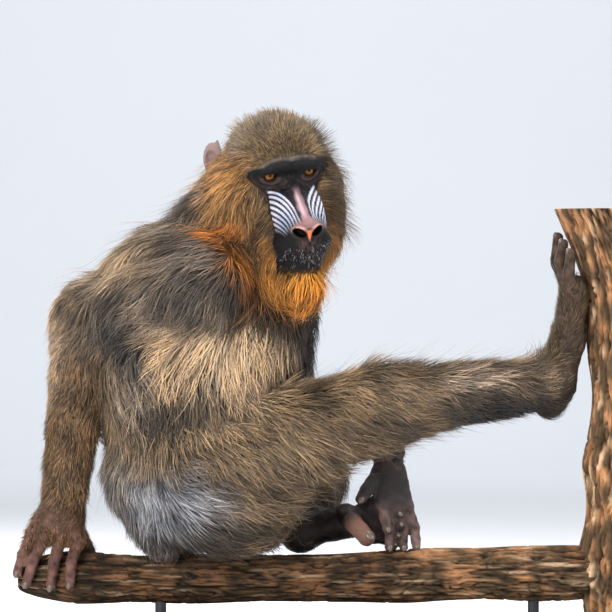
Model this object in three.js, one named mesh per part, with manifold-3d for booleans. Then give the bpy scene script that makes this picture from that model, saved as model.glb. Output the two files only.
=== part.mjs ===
// A life-size mandrill sitting on a cut branch, in millimetres, +Z up.
// +X runs along the branch to its trunk and +Y leads away from the viewer.
// The origin is the centre of the display stand's underside.
import * as THREE from 'three';
import Module from 'manifold-3d';

const wasm = await Module();
wasm.setup();
const { Manifold, Mesh } = wasm;

// Gap kept between neighbouring nodes.
const SEAM = 0.45;
// Grid steps of the skin on the body, the head and the hands and feet.
const BODY_STEP = 10;
const HEAD_STEP = 4;
const DIGIT_STEP = 3;
// How far the skin may be smoothed flat, in the same order.
const BODY_FLAT = 1.0;
const HEAD_FLAT = 0.55;
const DIGIT_FLAT = 0.58;
const PART_FLAT = 1.0;
// How far the finished nodes may stray where slivers are folded away.
const LAST_FLAT = 0.14;
// Smoothing of the locks before they are joined to a node.
const LOCK_FLAT = 0.8;
// Distance at which two folds of one skin count as touching.
const PINCH = 0.008;
// Points closer than this are one.
const MERGE = 0.002;
// Shared volume above which one node is cut clear of another.
const CROSSING = 0.001;
// Grid steps of the surfaces that part one node from the next, among digits and elsewhere.
const DIGIT_PART_STEP = 5;
const PART_STEP = 9;

// The way the chest faces, turned from +X toward the viewer.
const TORSO_TURN = 35;
// Centre of the skull and how the face is turned, tipped down and leaned.
const SKULL = [-69.6, -60, 527];
const HEAD_YAW = 20.5;
const HEAD_PITCH = 20;
const HEAD_LEAN = 8;
// The slope of the nose bridge below the line of sight.
const BRIDGE_SLOPE = 38;

// Joints of the right limbs, the ones toward the viewer.
const SHOULDER_RIGHT = [-143, -85, 400];
const ELBOW_RIGHT = [-267, -20, 364];
const WRIST_RIGHT = [-294, 5, 161];
const HIP_RIGHT = [-135, -48, 200];
const KNEE_RIGHT = [44, -66, 272];
const ANKLE_RIGHT = [222, -14, 293];
// Joints of the left limbs, folded away behind.
const SHOULDER_LEFT = [-61, 58, 390];
const ELBOW_LEFT = [-62, 152, 262];
const WRIST_LEFT = [50, 14, 224];
const HIP_LEFT = [-145, 48, 190];
const KNEE_LEFT = [-30, 205, 182];
const ANKLE_LEFT = [-42, 24, 136];

// Eyeballs, mirrored across the face, in head axes.
const EYE_AT = [41, 21.5, 2];
const EYE_RADIUS = 9.5;
// The muzzle's core line in head axes, and the ridges along its sides.
const MUZZLE_BACK = [50, 0, -27];
const MUZZLE_FRONT = [97, 0, -52];
const RIDGE_COUNT = 8;
const RIDGE_WIDTH = 1.7;
const RIDGE_HEIGHT = 2.2;
// The ends of the ridges for the innermost and the outermost one: turns round the core line in
// degrees, then places along it, each by the nostril and at the cheek.
const RIDGE_TURN_FRONT = [21, 77];
const RIDGE_TURN_BACK = [64, 100];
const RIDGE_RUN_FRONT = [0.98, 0.94];
const RIDGE_RUN_BACK = [-0.08, 0.62];
// How late the innermost and the outermost ridge bend outward.
const RIDGE_BEND = [3, 1.4];
// Ears: centre in head axes and half sizes along, out and up.
const EAR_AT = [-28, 57, -1];
const EAR_HALF = [13, 6, 20];

// The branch: how far it runs, and the stand under it.
const BRANCH_START = -341;
const BRANCH_END = 300;
const BRANCH_RADIUS = 25;
const TRUNK_RADIUS = 50;
const TRUNK_BOTTOM = 44;
const TRUNK_TOP = 478;
const BASE_LENGTH = 560;
const BASE_WIDTH = 280;
const BASE_HEIGHT = 14;
const BASE_CORNER = 40;
const BASE_BEVEL = 2;
const ROD_RADIUS = 6;
const ROD_PLACES = { left: -190, right: 205 };

// Vectors as arrays of three.
const add = (a, b) => [a[0] + b[0], a[1] + b[1], a[2] + b[2]];
const sub = (a, b) => [a[0] - b[0], a[1] - b[1], a[2] - b[2]];
const times = (a, s) => [a[0] * s, a[1] * s, a[2] * s];
const dot = (a, b) => a[0] * b[0] + a[1] * b[1] + a[2] * b[2];
const size = (a) => Math.hypot(a[0], a[1], a[2]);
const unit = (a) => times(a, 1 / (size(a) || 1));
const mix = (a, b, t) => add(times(a, 1 - t), times(b, t));
const cross = (a, b) => [
  a[1] * b[2] - a[2] * b[1],
  a[2] * b[0] - a[0] * b[2],
  a[0] * b[1] - a[1] * b[0],
];
const radians = THREE.MathUtils.degToRad;
const clamp = THREE.MathUtils.clamp;

// Axes given as forward, left and up.
const WORLD = [[1, 0, 0], [0, 1, 0], [0, 0, 1]];

// Axes of a body part that looks `turn` degrees off +X toward the viewer.
function turned(turn) {
  const c = Math.cos(radians(turn));
  const s = Math.sin(radians(turn));
  return [[c, -s, 0], [s, c, 0], [0, 0, 1]];
}

const TORSO = turned(TORSO_TURN);

// Axes of the head, turned from the viewer's line, tipped down and leaned.
function headAxes() {
  const [forward, left] = turned(90 - HEAD_YAW);
  const c = Math.cos(radians(HEAD_PITCH));
  const s = Math.sin(radians(HEAD_PITCH));
  const ahead = add(times(forward, c), [0, 0, -s]);
  const up = add(times(forward, s), [0, 0, c]);
  const lean = radians(HEAD_LEAN);
  return [
    ahead,
    add(times(left, Math.cos(lean)), times(up, Math.sin(lean))),
    add(times(left, -Math.sin(lean)), times(up, Math.cos(lean))),
  ];
}

const HEAD = headAxes();

// A point or direction of the head in world axes.
function headPoint(ahead, left, up) {
  const across = add(times(HEAD[0], ahead), times(HEAD[1], left));
  return add(SKULL, add(across, times(HEAD[2], up)));
}

// Axes along the nose bridge.
function bridgeAxes() {
  const c = Math.cos(radians(BRIDGE_SLOPE));
  const s = Math.sin(radians(BRIDGE_SLOPE));
  const along = sub(times(HEAD[0], c), times(HEAD[2], s));
  return [along, HEAD[1], cross(along, HEAD[1])];
}

const BRIDGE = bridgeAxes();

// A seeded draw between 0 and 1.
function draw(seed) {
  let state = seed;
  return () => {
    state = (state * 1664525 + 1013904223) % 4294967296;
    return state / 4294967296;
  };
}

// An egg-shaped mass of flesh.
function ball(part, at, radii, axes = WORLD, blend = 10) {
  const least = Math.min(...radii);
  const [[ax, ay, az], [bx, by, bz], [cx, cy, cz]] = axes;
  const [ra, rb, rc] = radii;
  const measure = (p) => {
    const x = p[0] - at[0];
    const y = p[1] - at[1];
    const z = p[2] - at[2];
    const u = (x * ax + y * ay + z * az) / ra;
    const v = (x * bx + y * by + z * bz) / rb;
    const w = (x * cx + y * cy + z * cz) / rc;
    const far = Math.sqrt((u * u) / (ra * ra) + (v * v) / (rb * rb) + (w * w) / (rc * rc));
    if (far < 1e-6) return -least;
    const k = Math.sqrt(u * u + v * v + w * w);
    return (k * (k - 1)) / far;
  };
  return { part, at, reach: Math.max(...radii), blend, measure };
}

// A rounded length of flesh that tapers from one end to the other.
function taper(part, from, to, startRadius, endRadius, blend = 10) {
  const [rx, ry, rz] = sub(to, from);
  const square = rx * rx + ry * ry + rz * rz;
  const measure = (p) => {
    const x = p[0] - from[0];
    const y = p[1] - from[1];
    const z = p[2] - from[2];
    const t = clamp((x * rx + y * ry + z * rz) / square, 0, 1);
    const gap = Math.hypot(x - t * rx, y - t * ry, z - t * rz);
    return gap - startRadius - t * (endRadius - startRadius);
  };
  const reach = Math.sqrt(square) / 2 + Math.max(startRadius, endRadius);
  return { part, at: mix(from, to, 0.5), reach, blend, measure };
}

// A finger or toe through three points.
function digit(part, base, bend, tip, baseRadius, tipRadius) {
  const middle = (baseRadius + tipRadius) / 2;
  return [
    taper(part, base, bend, baseRadius, middle, 2.5),
    taper(part, bend, tip, middle, tipRadius, 2),
  ];
}

function joined(a, b, blend) {
  const near = Math.max(blend - Math.abs(a - b), 0);
  return Math.min(a, b) - (blend > 0 ? (near * near) / (4 * blend) : 0);
}

// Rump, belly, chest and neck.
function torso() {
  return [
    ball('rump', [-165, 8, 192], [88, 84, 72], TORSO, 20),
    ball('rump', [-188, -14, 145], [34, 30, 36], TORSO, 16),
    ball('rump', [-172, 26, 145], [34, 30, 36], TORSO, 16),
    ball('callosity_right', [-188, -16, 119], [22, 13, 14], TORSO, 4),
    ball('callosity_left', [-170, 20, 119], [22, 13, 14], TORSO, 4),
    ball('belly', [-144, 2, 265], [102, 88, 92], TORSO, 30),
    ball('belly', [-190, -14, 300], [58, 68, 74], TORSO, 26),
    ball('chest', [-130, -6, 350], [96, 80, 90], TORSO, 30),
    ball('chest', [-187, -25, 398], [62, 72, 52], TORSO, 25),
    ball('chest', [-190, -44, 402], [56, 45, 50], TORSO, 20),
    taper('neck', [-150, -22, 420], [-92, -50, 490], 58, 50, 25),
    taper('tail', [-220, 50, 210], [-258, 78, 250], 17, 10, 10),
  ];
}

// Skull, ruff, brow, muzzle, jaw and nose, the two sides alike.
function skull() {
  const masses = [
    ball('head', headPoint(-2, 4, 3), [58, 40, 49], HEAD, 18),
    ball('head', headPoint(34, 0, -6), [17, 36, 30], HEAD, 10),
    taper('head', headPoint(44, 0, -34), headPoint(88, 0, -50), 30, 24, 10),
    taper('head', headPoint(40, 0, -54), headPoint(78, 0, -73), 28, 23, 8),
    ball('head', headPoint(86, 0, -60), [23, 31, 17], HEAD, 8),
    taper('head', headPoint(47, 0, -3), headPoint(98, 0, -37), 9, 9.5, 5),
    ball('head', headPoint(102, 0, -40), [10, 18.5, 9], HEAD, 4),
  ];
  for (const side of [-1, 1]) {
    masses.push(
      ball('head', headPoint(2, side * 24, 4), [44, 28, 36], HEAD, 16),
      ball('head', headPoint(4, side * 42, -20), [33, 24, 32], HEAD, 14),
      ball('head', headPoint(6, side * 47, -52), [40, 27, 48], HEAD, 16),
      taper('head', headPoint(46, side * 26, 11), headPoint(51, 0, 16), 7.5, 8.5, 7),
      ball('head', headPoint(74, side * 16, -29), [31, 10.5, 12], BRIDGE, 5),
      ball('head', headPoint(42, side * 21.5, 2), [8.5, 13, 10], HEAD, 4),
      ball('head', headPoint(34, side * 27, -42), [26, 17, 32], HEAD, 12),
    );
  }
  return masses;
}

// The beard hangs from the chin and throat in front of the chest.
function beard() {
  return [
    taper('beard', headPoint(56, 6, -84), [-40, -98, 392], 28, 22, 14),
    taper('beard', headPoint(40, -18, -84), [-60, -85, 402], 25, 19, 14),
    ball('beard', headPoint(38, 34, -80), [26, 24, 26], HEAD, 14),
  ];
}

// The right arm props the body up behind, its hand over the branch's end.
function armRight() {
  const hand = 'hand_right';
  const masses = [
    taper('arm_upper_right', SHOULDER_RIGHT, ELBOW_RIGHT, 50, 38, 22),
    taper('arm_fore_right', ELBOW_RIGHT, WRIST_RIGHT, 36, 24, 12),
    ball(hand, [-299, 2, 146], [28, 16, 20], WORLD, 8),
  ];
  const fingers = [
    { base: [-325, -8, 135], bend: [-335, -19, 112], tip: [-341, -18, 93] },
    { base: [-312, -12, 131], bend: [-324, -25, 106], tip: [-331, -24, 82] },
    { base: [-295, -13, 130], bend: [-302, -29, 104], tip: [-305, -28, 79] },
    { base: [-277, -12, 127], bend: [-283, -31, 105], tip: [-285, -30, 82] },
  ];
  for (const { base, bend, tip } of fingers) {
    const palm = mix(WRIST_RIGHT, base, 0.35);
    masses.push(taper(hand, palm, base, 13, 8.5, 7), ...digit(hand, base, bend, tip, 6.6, 5.2));
  }
  masses.push(...digit(hand, [-276, 10, 132], [-268, 27, 114], [-268, 31, 94], 8, 6));
  return masses;
}

// The left arm rests on the left knee, its hand hanging to the foot.
function armLeft() {
  const hand = 'hand_left';
  const masses = [
    taper('arm_upper_left', SHOULDER_LEFT, ELBOW_LEFT, 42, 31, 20),
    taper('arm_fore_left', ELBOW_LEFT, WRIST_LEFT, 30, 20, 10),
    ball(hand, [50, 8, 192], [19, 12, 24], WORLD, 8),
  ];
  const fingers = [
    { base: [44, -3, 163], bend: [48, -12, 149], tip: [50, -15, 139] },
    { base: [54, -1, 161], bend: [53, -8, 139], tip: [52, -10, 120] },
    { base: [63, 1, 161], bend: [67, -3, 139], tip: [67, -5, 120] },
    { base: [71, 5, 164], bend: [79, 2, 141], tip: [81, 0, 120] },
  ];
  for (const { base, bend, tip } of fingers) {
    const palm = mix(WRIST_LEFT, base, 0.4);
    masses.push(taper(hand, palm, base, 11, 7.5, 6), ...digit(hand, base, bend, tip, 6, 5));
  }
  masses.push(...digit(hand, [37, 2, 192], [28, -6, 180], [22, -9, 171], 8, 6));
  return masses;
}

// The right leg reaches out to the trunk, its sole flat on the bark.
function legRight() {
  const foot = 'foot_right';
  const masses = [
    taper('thigh_right', HIP_RIGHT, KNEE_RIGHT, 66, 44, 20),
    ball('thigh_right', [-116, -50, 173], [72, 44, 62], WORLD, 24),
    taper('shank_right', KNEE_RIGHT, ANKLE_RIGHT, 40, 27, 14),
    ball(foot, [221, -9, 276], [17, 19, 20], WORLD, 10),
    taper(foot, [226, -10, 296], [243, -9, 345], 21, 19, 10),
    ball(foot, [250, -8, 384], [12, 27, 24], WORLD, 8),
  ];
  const toes = [
    { base: [243, 11, 391], bend: [230, 11, 421], tip: [232, 10, 445] },
    { base: [242, -1, 395], bend: [229, -2, 425], tip: [231, -3, 448] },
    { base: [242, -14, 393], bend: [232, -15, 422], tip: [236, -16, 441] },
    { base: [244, -27, 387], bend: [241, -30, 411], tip: [243, -30, 431] },
  ];
  for (const { base, bend, tip } of toes) {
    const arch = [242, base[1] * 0.6 - 4, 336];
    masses.push(taper(foot, arch, base, 13, 8.5, 8), ...digit(foot, base, bend, tip, 6.6, 5.4));
  }
  masses.push(...digit(foot, [247, 12, 328], [254, 34, 346], [262, 44, 366], 10.5, 8));
  return masses;
}

// The left leg is folded flat, its foot on edge on the branch.
function legLeft() {
  const foot = 'foot_left';
  const masses = [
    taper('thigh_left', HIP_LEFT, KNEE_LEFT, 62, 42, 20),
    taper('shank_left', KNEE_LEFT, ANKLE_LEFT, 37, 23, 12),
    ball(foot, [-42, 26, 134], [18, 19, 19], WORLD, 8),
    taper(foot, [-34, 22, 138], [8, 12, 146], 18, 18, 8),
    ball(foot, [34, 10, 148], [20, 11, 26], WORLD, 8),
  ];
  const toes = [
    { base: [42, 11, 166], bend: [58, 8, 162], tip: [62, -5, 153] },
    { base: [46, 9, 154], bend: [62, 6, 149], tip: [63, -8, 142] },
    { base: [45, 9, 142], bend: [61, 7, 137], tip: [60, -6, 131] },
    { base: [41, 10, 130], bend: [56, 9, 125], tip: [56, -4, 121] },
  ];
  for (const { base, bend, tip } of toes) {
    masses.push(...digit(foot, base, bend, tip, 7, 5.4));
  }
  masses.push(...digit(foot, [6, 4, 156], [14, -17, 146], [28, -27, 131], 10.5, 9));
  return masses;
}

// Each limb melts into the torso round its root joint and nowhere else.
const LIMBS = [
  { masses: [...torso(), ...skull(), ...beard()] },
  { masses: armRight(), root: SHOULDER_RIGHT, reach: 110, blend: 26 },
  { masses: armLeft(), root: SHOULDER_LEFT, reach: 90, blend: 22 },
  { masses: legRight(), root: HIP_RIGHT, reach: 150, blend: 30 },
  { masses: legLeft(), root: HIP_LEFT, reach: 130, blend: 26 },
];

// Flesh nodes in the order in which they are parted from the rest.
const FLESH = [
  'hand_right', 'hand_left', 'foot_right', 'foot_left', 'head', 'beard',
  'callosity_right', 'callosity_left', 'tail',
  'arm_fore_right', 'arm_fore_left', 'shank_right', 'shank_left',
  'arm_upper_right', 'arm_upper_left', 'thigh_right', 'thigh_left',
  'neck', 'chest', 'belly', 'rump',
];
const RANK = new Map(FLESH.map((name, rank) => [name, rank]));

function boxGap(p, low, high) {
  return size([0, 1, 2].map((i) => Math.max(low[i] - p[i], p[i] - high[i], 0)));
}

// The masses that can shape the skin within a box.
function massesNear(low, high) {
  const near = (mass) => boxGap(mass.at, low, high) < mass.reach + mass.blend + 12;
  return LIMBS.map((limb) => ({ ...limb, masses: limb.masses.filter(near) }))
    .filter((limb) => limb.masses.length > 0);
}

// Signed distance from the skin, negative inside.
function fleshDistance(limbs, p) {
  let whole = Infinity;
  for (const limb of limbs) {
    let own = Infinity;
    for (const mass of limb.masses) own = joined(own, mass.measure(p), mass.blend);
    const fade = limb.root ? Math.max(0, 1 - size(sub(p, limb.root)) / limb.reach) : 0;
    whole = whole === Infinity ? own : joined(whole, own, (limb.blend ?? 0) * fade);
  }
  return whole;
}

// Negative where a point is nearer to the node of this rank than to any later one.
function parting(limbs, rank, p) {
  let own = Infinity;
  let later = Infinity;
  for (const limb of limbs) {
    for (const mass of limb.masses) {
      const massRank = RANK.get(mass.part);
      if (massRank < rank) continue;
      const d = mass.measure(p);
      if (massRank === rank) own = Math.min(own, d);
      else later = Math.min(later, d);
    }
  }
  return clamp(own - later, -60, 60);
}

function closedSolid(vertices, triangles) {
  return new Manifold(new Mesh({
    numProp: 3,
    vertProperties: new Float32Array(vertices.flat()),
    triVerts: new Uint32Array(triangles.flat()),
  }));
}

// The closed surface where a field crosses zero in a box, one vertex to a grid cell.
function surface(low, high, step, field, settle) {
  const count = [0, 1, 2].map((i) => Math.ceil((high[i] - low[i]) / step) + 1);
  const at = (i, j, k) => (i * count[1] + j) * count[2] + k;
  const place = (i, j, k) => [low[0] + i * step, low[1] + j * step, low[2] + k * step];
  const value = new Float64Array(count[0] * count[1] * count[2]);
  value.fill(step);
  for (let i = 1; i < count[0] - 1; i += 1) {
    for (let j = 1; j < count[1] - 1; j += 1) {
      let k = 1;
      while (k < count[2] - 1) {
        const d = field(place(i, j, k)) || 1e-6;
        // Far from the skin the next samples have the same sign.
        const run = Math.max(1, Math.floor(Math.abs(d) / (2.5 * step)));
        const end = Math.min(k + run, count[2] - 1);
        value.fill(d, at(i, j, k), at(i, j, end));
        k = end;
      }
    }
  }
  const vertices = [];
  const vertexOf = new Map();
  const corners = [0, 1, 2, 3, 4, 5, 6, 7].map((n) => [n & 1, (n >> 1) & 1, (n >> 2) & 1]);
  const cellVertex = (i, j, k) => {
    const key = at(i, j, k);
    if (vertexOf.has(key)) return vertexOf.get(key);
    let sum = [0, 0, 0];
    let crossings = 0;
    for (const a of corners) {
      for (let axis = 0; axis < 3; axis += 1) {
        if (a[axis]) continue;
        const b = a.slice();
        b[axis] = 1;
        const va = value[at(i + a[0], j + a[1], k + a[2])];
        const vb = value[at(i + b[0], j + b[1], k + b[2])];
        if (va < 0 === vb < 0) continue;
        sum = add(sum, mix(a, b, va / (va - vb)));
        crossings += 1;
      }
    }
    let p = add(place(i, j, k), times(sum, step / crossings));
    if (settle) p = settled(p, field, step);
    vertexOf.set(key, vertices.length);
    vertices.push(p);
    return vertices.length - 1;
  };
  const triangles = [];
  const quad = (a, b, c, d) => {
    const flip = size(sub(vertices[a], vertices[c])) > size(sub(vertices[b], vertices[d]));
    if (flip) triangles.push([a, b, d], [b, c, d]);
    else triangles.push([a, b, c], [a, c, d]);
  };
  for (let i = 1; i < count[0] - 1; i += 1) {
    for (let j = 1; j < count[1] - 1; j += 1) {
      for (let k = 1; k < count[2] - 1; k += 1) {
        const here = value[at(i, j, k)] < 0;
        for (let axis = 0; axis < 3; axis += 1) {
          const next = [i, j, k];
          next[axis] += 1;
          if (value[at(...next)] < 0 === here) continue;
          const u = (axis + 1) % 3;
          const v = (axis + 2) % 3;
          const ring = [[0, 0], [1, 0], [1, 1], [0, 1]].map(([du, dv]) => {
            const cell = [i, j, k];
            cell[u] -= du;
            cell[v] -= dv;
            return cellVertex(...cell);
          });
          if (here) quad(ring[0], ring[1], ring[2], ring[3]);
          else quad(ring[3], ring[2], ring[1], ring[0]);
        }
      }
    }
  }
  // Lower faces of the grid, where the rim closes the solid.
  for (let axis = 0; axis < 3; axis += 1) {
    const u = (axis + 1) % 3;
    const v = (axis + 2) % 3;
    for (let m = 1; m < count[u] - 1; m += 1) {
      for (let n = 1; n < count[v] - 1; n += 1) {
        const inner = [0, 0, 0];
        inner[axis] = 1;
        inner[u] = m;
        inner[v] = n;
        if (value[at(...inner)] >= 0) continue;
        const ring = [[0, 0], [1, 0], [1, 1], [0, 1]].map(([du, dv]) => {
          const cell = inner.slice();
          cell[axis] = 0;
          cell[u] -= du;
          cell[v] -= dv;
          return cellVertex(...cell);
        });
        quad(ring[3], ring[2], ring[1], ring[0]);
      }
    }
  }
  return closedSolid(vertices, triangles);
}

// The slope of a field at a point, by differences half a millimetre away.
function slope(field, p) {
  const h = 0.5;
  return [0, 1, 2].map((i) => {
    const step = [0, 0, 0];
    step[i] = h;
    return (field(add(p, step)) - field(sub(p, step))) / (2 * h);
  });
}

// The point moved along the slope onto a level of the field.
function settled(p, field, reach, level = 0) {
  let q = p;
  for (let turn = 0; turn < 2; turn += 1) {
    const d = field(q) - level;
    if (Math.abs(d) > reach) return q;
    const g = slope(field, q);
    q = sub(q, times(g, d / Math.max(dot(g, g), 0.2)));
  }
  return q;
}

// The points and triangles of a solid, with the points that its cuts doubled made one.
function welded(solid) {
  const mesh = solid.getMesh();
  const own = Array.from({ length: mesh.numVert }, (_, i) => i);
  mesh.mergeFromVert.forEach((from, k) => { own[from] = mesh.mergeToVert[k]; });
  const index = new Map();
  const points = [];
  const triangles = [];
  for (let t = 0; t < mesh.numTri; t += 1) {
    triangles.push([0, 1, 2].map((c) => {
      let i = mesh.triVerts[3 * t + c];
      while (own[i] !== i) i = own[i];
      if (!index.has(i)) {
        const start = i * mesh.numProp;
        index.set(i, points.length);
        points.push(Array.from(mesh.vertProperties.slice(start, start + 3)));
      }
      return index.get(i);
    }));
  }
  return { points, triangles };
}

// Twice a triangle's area, as a vector along its normal.
function facing(points, [a, b, c]) {
  return cross(sub(points[b], points[a]), sub(points[c], points[a]));
}

// The same solid with each vertex moved out along its normal.
function grown(solid, by) {
  const { points, triangles } = welded(solid);
  const normals = points.map(() => [0, 0, 0]);
  const faces = triangles.map((face) => facing(points, face));
  triangles.forEach((face, f) => {
    for (const v of face) normals[v] = add(normals[v], faces[f]);
  });
  // A vertex on a crease moves further, so that the faces beside it clear the gap too.
  const least = points.map(() => 1);
  triangles.forEach((face, f) => {
    const n = unit(faces[f]);
    for (const v of face) least[v] = Math.min(least[v], dot(n, unit(normals[v])));
  });
  const moved = points.map((p, i) => add(p, times(unit(normals[i]), by / Math.max(least[i], 0.4))));
  return closedSolid(moved, triangles);
}

// The points of a skin, with those of two folds that meet in one place drawn a little inwards.
function unpinched(points, triangles) {
  const inward = new Map();
  points.forEach((p, i) => {
    for (let k = 0; k < i; k += 1) {
      const q = points[k];
      if (Math.abs(p[0] - q[0]) < PINCH && size(sub(p, q)) < PINCH) {
        inward.set(i, [0, 0, 0]);
        inward.set(k, [0, 0, 0]);
      }
    }
  });
  for (const face of triangles) {
    for (const i of face) if (inward.has(i)) inward.set(i, sub(inward.get(i), facing(points, face)));
  }
  return points.map((p, i) => (inward.has(i) ? add(p, times(unit(inward.get(i)), 4 * PINCH)) : p));
}

// Where an edge may fold to a point, and how far that strays from the planes round it.
function foldOf(points, planes, a, b) {
  const q = planes[a].map((v, i) => v + planes[b][i]);
  const [xx, xy, xz, x, yy, yz, y, zz, z, one, weight] = q;
  const cost = (p) => (
    xx * p[0] * p[0] + yy * p[1] * p[1] + zz * p[2] * p[2]
    + 2 * (xy * p[0] * p[1] + xz * p[0] * p[2] + yz * p[1] * p[2])
    + 2 * (x * p[0] + y * p[1] + z * p[2]) + one) / weight;
  const span = size(sub(points[a], points[b]));
  const choices = [mix(points[a], points[b], 0.5), points[a], points[b]];
  const det = xx * (yy * zz - yz * yz) - xy * (xy * zz - yz * xz) + xz * (xy * yz - yy * xz);
  if (Math.abs(det) > 1e-4 * weight ** 3) {
    const best = [
      (-x * (yy * zz - yz * yz) + y * (xy * zz - xz * yz) - z * (xy * yz - xz * yy)) / det,
      (x * (xy * zz - yz * xz) - y * (xx * zz - xz * xz) + z * (xx * yz - xy * xz)) / det,
      (-x * (xy * yz - yy * xz) + y * (xx * yz - xy * xz) - z * (xx * yy - xy * xy)) / det,
    ];
    if (size(sub(best, choices[0])) < span) choices.unshift(best);
  }
  let at = choices[0];
  for (const choice of choices) if (cost(choice) < cost(at) - 1e-9) at = choice;
  return { at, cost: Math.max(cost(at), 0) + 1e-6 * span * span };
}

// A heap that gives the cheapest entry first.
class Queue {
  constructor() {
    this.items = [];
  }

  push(item) {
    const { items } = this;
    let i = items.push(item) - 1;
    while (i > 0) {
      const parent = (i - 1) >> 1;
      if (items[parent].cost <= items[i].cost) break;
      [items[parent], items[i]] = [items[i], items[parent]];
      i = parent;
    }
  }

  pop() {
    const { items } = this;
    const top = items[0];
    const last = items.pop();
    if (items.length > 0) {
      items[0] = last;
      let i = 0;
      for (;;) {
        let least = i;
        for (const child of [2 * i + 1, 2 * i + 2]) {
          if (child < items.length && items[child].cost < items[least].cost) least = child;
        }
        if (least === i) break;
        [items[least], items[i]] = [items[i], items[least]];
        i = least;
      }
    }
    return top;
  }
}

// The same form in fewer triangles, its edges folded while no fold strays too far.
function thinned(solid, stray) {
  const { points, triangles } = welded(solid);
  const planes = points.map(() => Array(11).fill(0));
  const around = points.map(() => new Set());
  const version = points.map(() => 0);
  triangles.forEach((face, f) => {
    const n = facing(points, face);
    const area = size(n);
    for (const v of face) around[v].add(f);
    if (area < 1e-9) return;
    const [u, v, w] = times(n, 1 / area);
    const d = -dot([u, v, w], points[face[0]]);
    const terms = [u * u, u * v, u * w, u * d, v * v, v * w, v * d, w * w, w * d, d * d, 1];
    for (const i of face) terms.forEach((term, k) => { planes[i][k] += term * area; });
  });
  const next = (v) => {
    const found = new Set();
    for (const f of around[v]) for (const i of triangles[f]) if (i !== v) found.add(i);
    return found;
  };
  const queue = new Queue();
  const offer = (a, b) => {
    const { at, cost } = foldOf(points, planes, a, b);
    if (cost < stray * stray) queue.push({ cost, at, a, b, stamp: version[a] + version[b] });
  };
  points.forEach((_, v) => next(v).forEach((i) => { if (v < i) offer(v, i); }));
  const turnsOver = (v, other, at) => [...around[v]].some((f) => {
    const face = triangles[f];
    if (face.includes(other)) return false;
    const before = facing(points, face);
    const moved = face.map((i) => (i === v ? at : points[i]));
    const after = cross(sub(moved[1], moved[0]), sub(moved[2], moved[0]));
    const longest = Math.max(
      size(sub(moved[1], moved[0])), size(sub(moved[2], moved[1])), size(sub(moved[0], moved[2])));
    if (size(after) < 0.04 * longest * longest) return size(after) < 0.9 * size(before);
    return dot(before, after) < 0.35 * size(before) * size(after);
  });
  while (queue.items.length > 0) {
    const { a, b, at, stamp } = queue.pop();
    if (version[a] < 0 || version[b] < 0 || version[a] + version[b] !== stamp) continue;
    const nearB = next(b);
    const shared = [...next(a)].filter((i) => nearB.has(i));
    if (shared.length !== 2 || turnsOver(a, b, at) || turnsOver(b, a, at)) continue;
    for (const f of around[b]) {
      if (triangles[f].includes(a)) {
        for (const i of triangles[f]) if (i !== b) around[i].delete(f);
        triangles[f] = [];
      } else {
        triangles[f] = triangles[f].map((i) => (i === b ? a : i));
        around[a].add(f);
      }
    }
    around[b].clear();
    points[a] = at;
    planes[a] = planes[a].map((v, k) => v + planes[b][k]);
    version[a] += 1;
    version[b] = -1e9;
    for (const i of next(a)) offer(Math.min(a, i), Math.max(a, i));
  }
  const kept = new Map();
  const outPoints = [];
  const outTriangles = triangles.filter((face) => face.length).map((face) => face.map((i) => {
    if (!kept.has(i)) {
      kept.set(i, outPoints.length);
      outPoints.push(points[i]);
    }
    return kept.get(i);
  }));
  return closedSolid(unpinched(outPoints, outTriangles), outTriangles);
}

function largest(solid) {
  const pieces = solid.decompose();
  return pieces.reduce((a, b) => (b.volume() > a.volume() ? b : a));
}

// The largest body of a solid once points closer than a small distance are made one.
function sound(solid) {
  const { points, triangles } = welded(solid);
  const index = new Map();
  const merged = [];
  const own = points.map((p) => {
    const place = p.map((v) => Math.round(v / MERGE)).join(' ');
    if (!index.has(place)) {
      index.set(place, merged.length);
      merged.push(p);
    }
    return index.get(place);
  });
  const faces = triangles.map((face) => face.map((i) => own[i]));
  const open = faces.filter(([a, b, c]) => a !== b && b !== c && c !== a);
  return largest(closedSolid(merged, open));
}

// Each node cut clear of the nodes before it, wherever the two still cross.
function cleared(nodes) {
  const done = [];
  for (const [name, solid] of nodes) {
    let node = sound(thinned(solid.simplify(PINCH), LAST_FLAT));
    for (const earlier of done) {
      if (node.intersect(earlier).volume() > CROSSING) {
        node = sound(node.subtract(earlier));
      }
    }
    nodes.set(name, node);
    done.push(node);
  }
  return nodes;
}

// The box round the masses of one node.
function boxOf(part, margin) {
  const low = [Infinity, Infinity, Infinity];
  const high = [-Infinity, -Infinity, -Infinity];
  for (const limb of LIMBS) {
    for (const mass of limb.masses.filter((m) => m.part === part)) {
      for (let i = 0; i < 3; i += 1) {
        low[i] = Math.min(low[i], mass.at[i] - mass.reach - margin);
        high[i] = Math.max(high[i], mass.at[i] + mass.reach + margin);
      }
    }
  }
  return [low, high];
}

// Grid step and smoothing of a node's skin, and the grid step of its parting surface.
function skinSteps(part) {
  if (part === 'head') return [HEAD_STEP, HEAD_FLAT, PART_STEP];
  if (/^(hand|foot|callosity)_/.test(part)) return [DIGIT_STEP, DIGIT_FLAT, DIGIT_PART_STEP];
  return [BODY_STEP, BODY_FLAT, PART_STEP];
}

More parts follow.
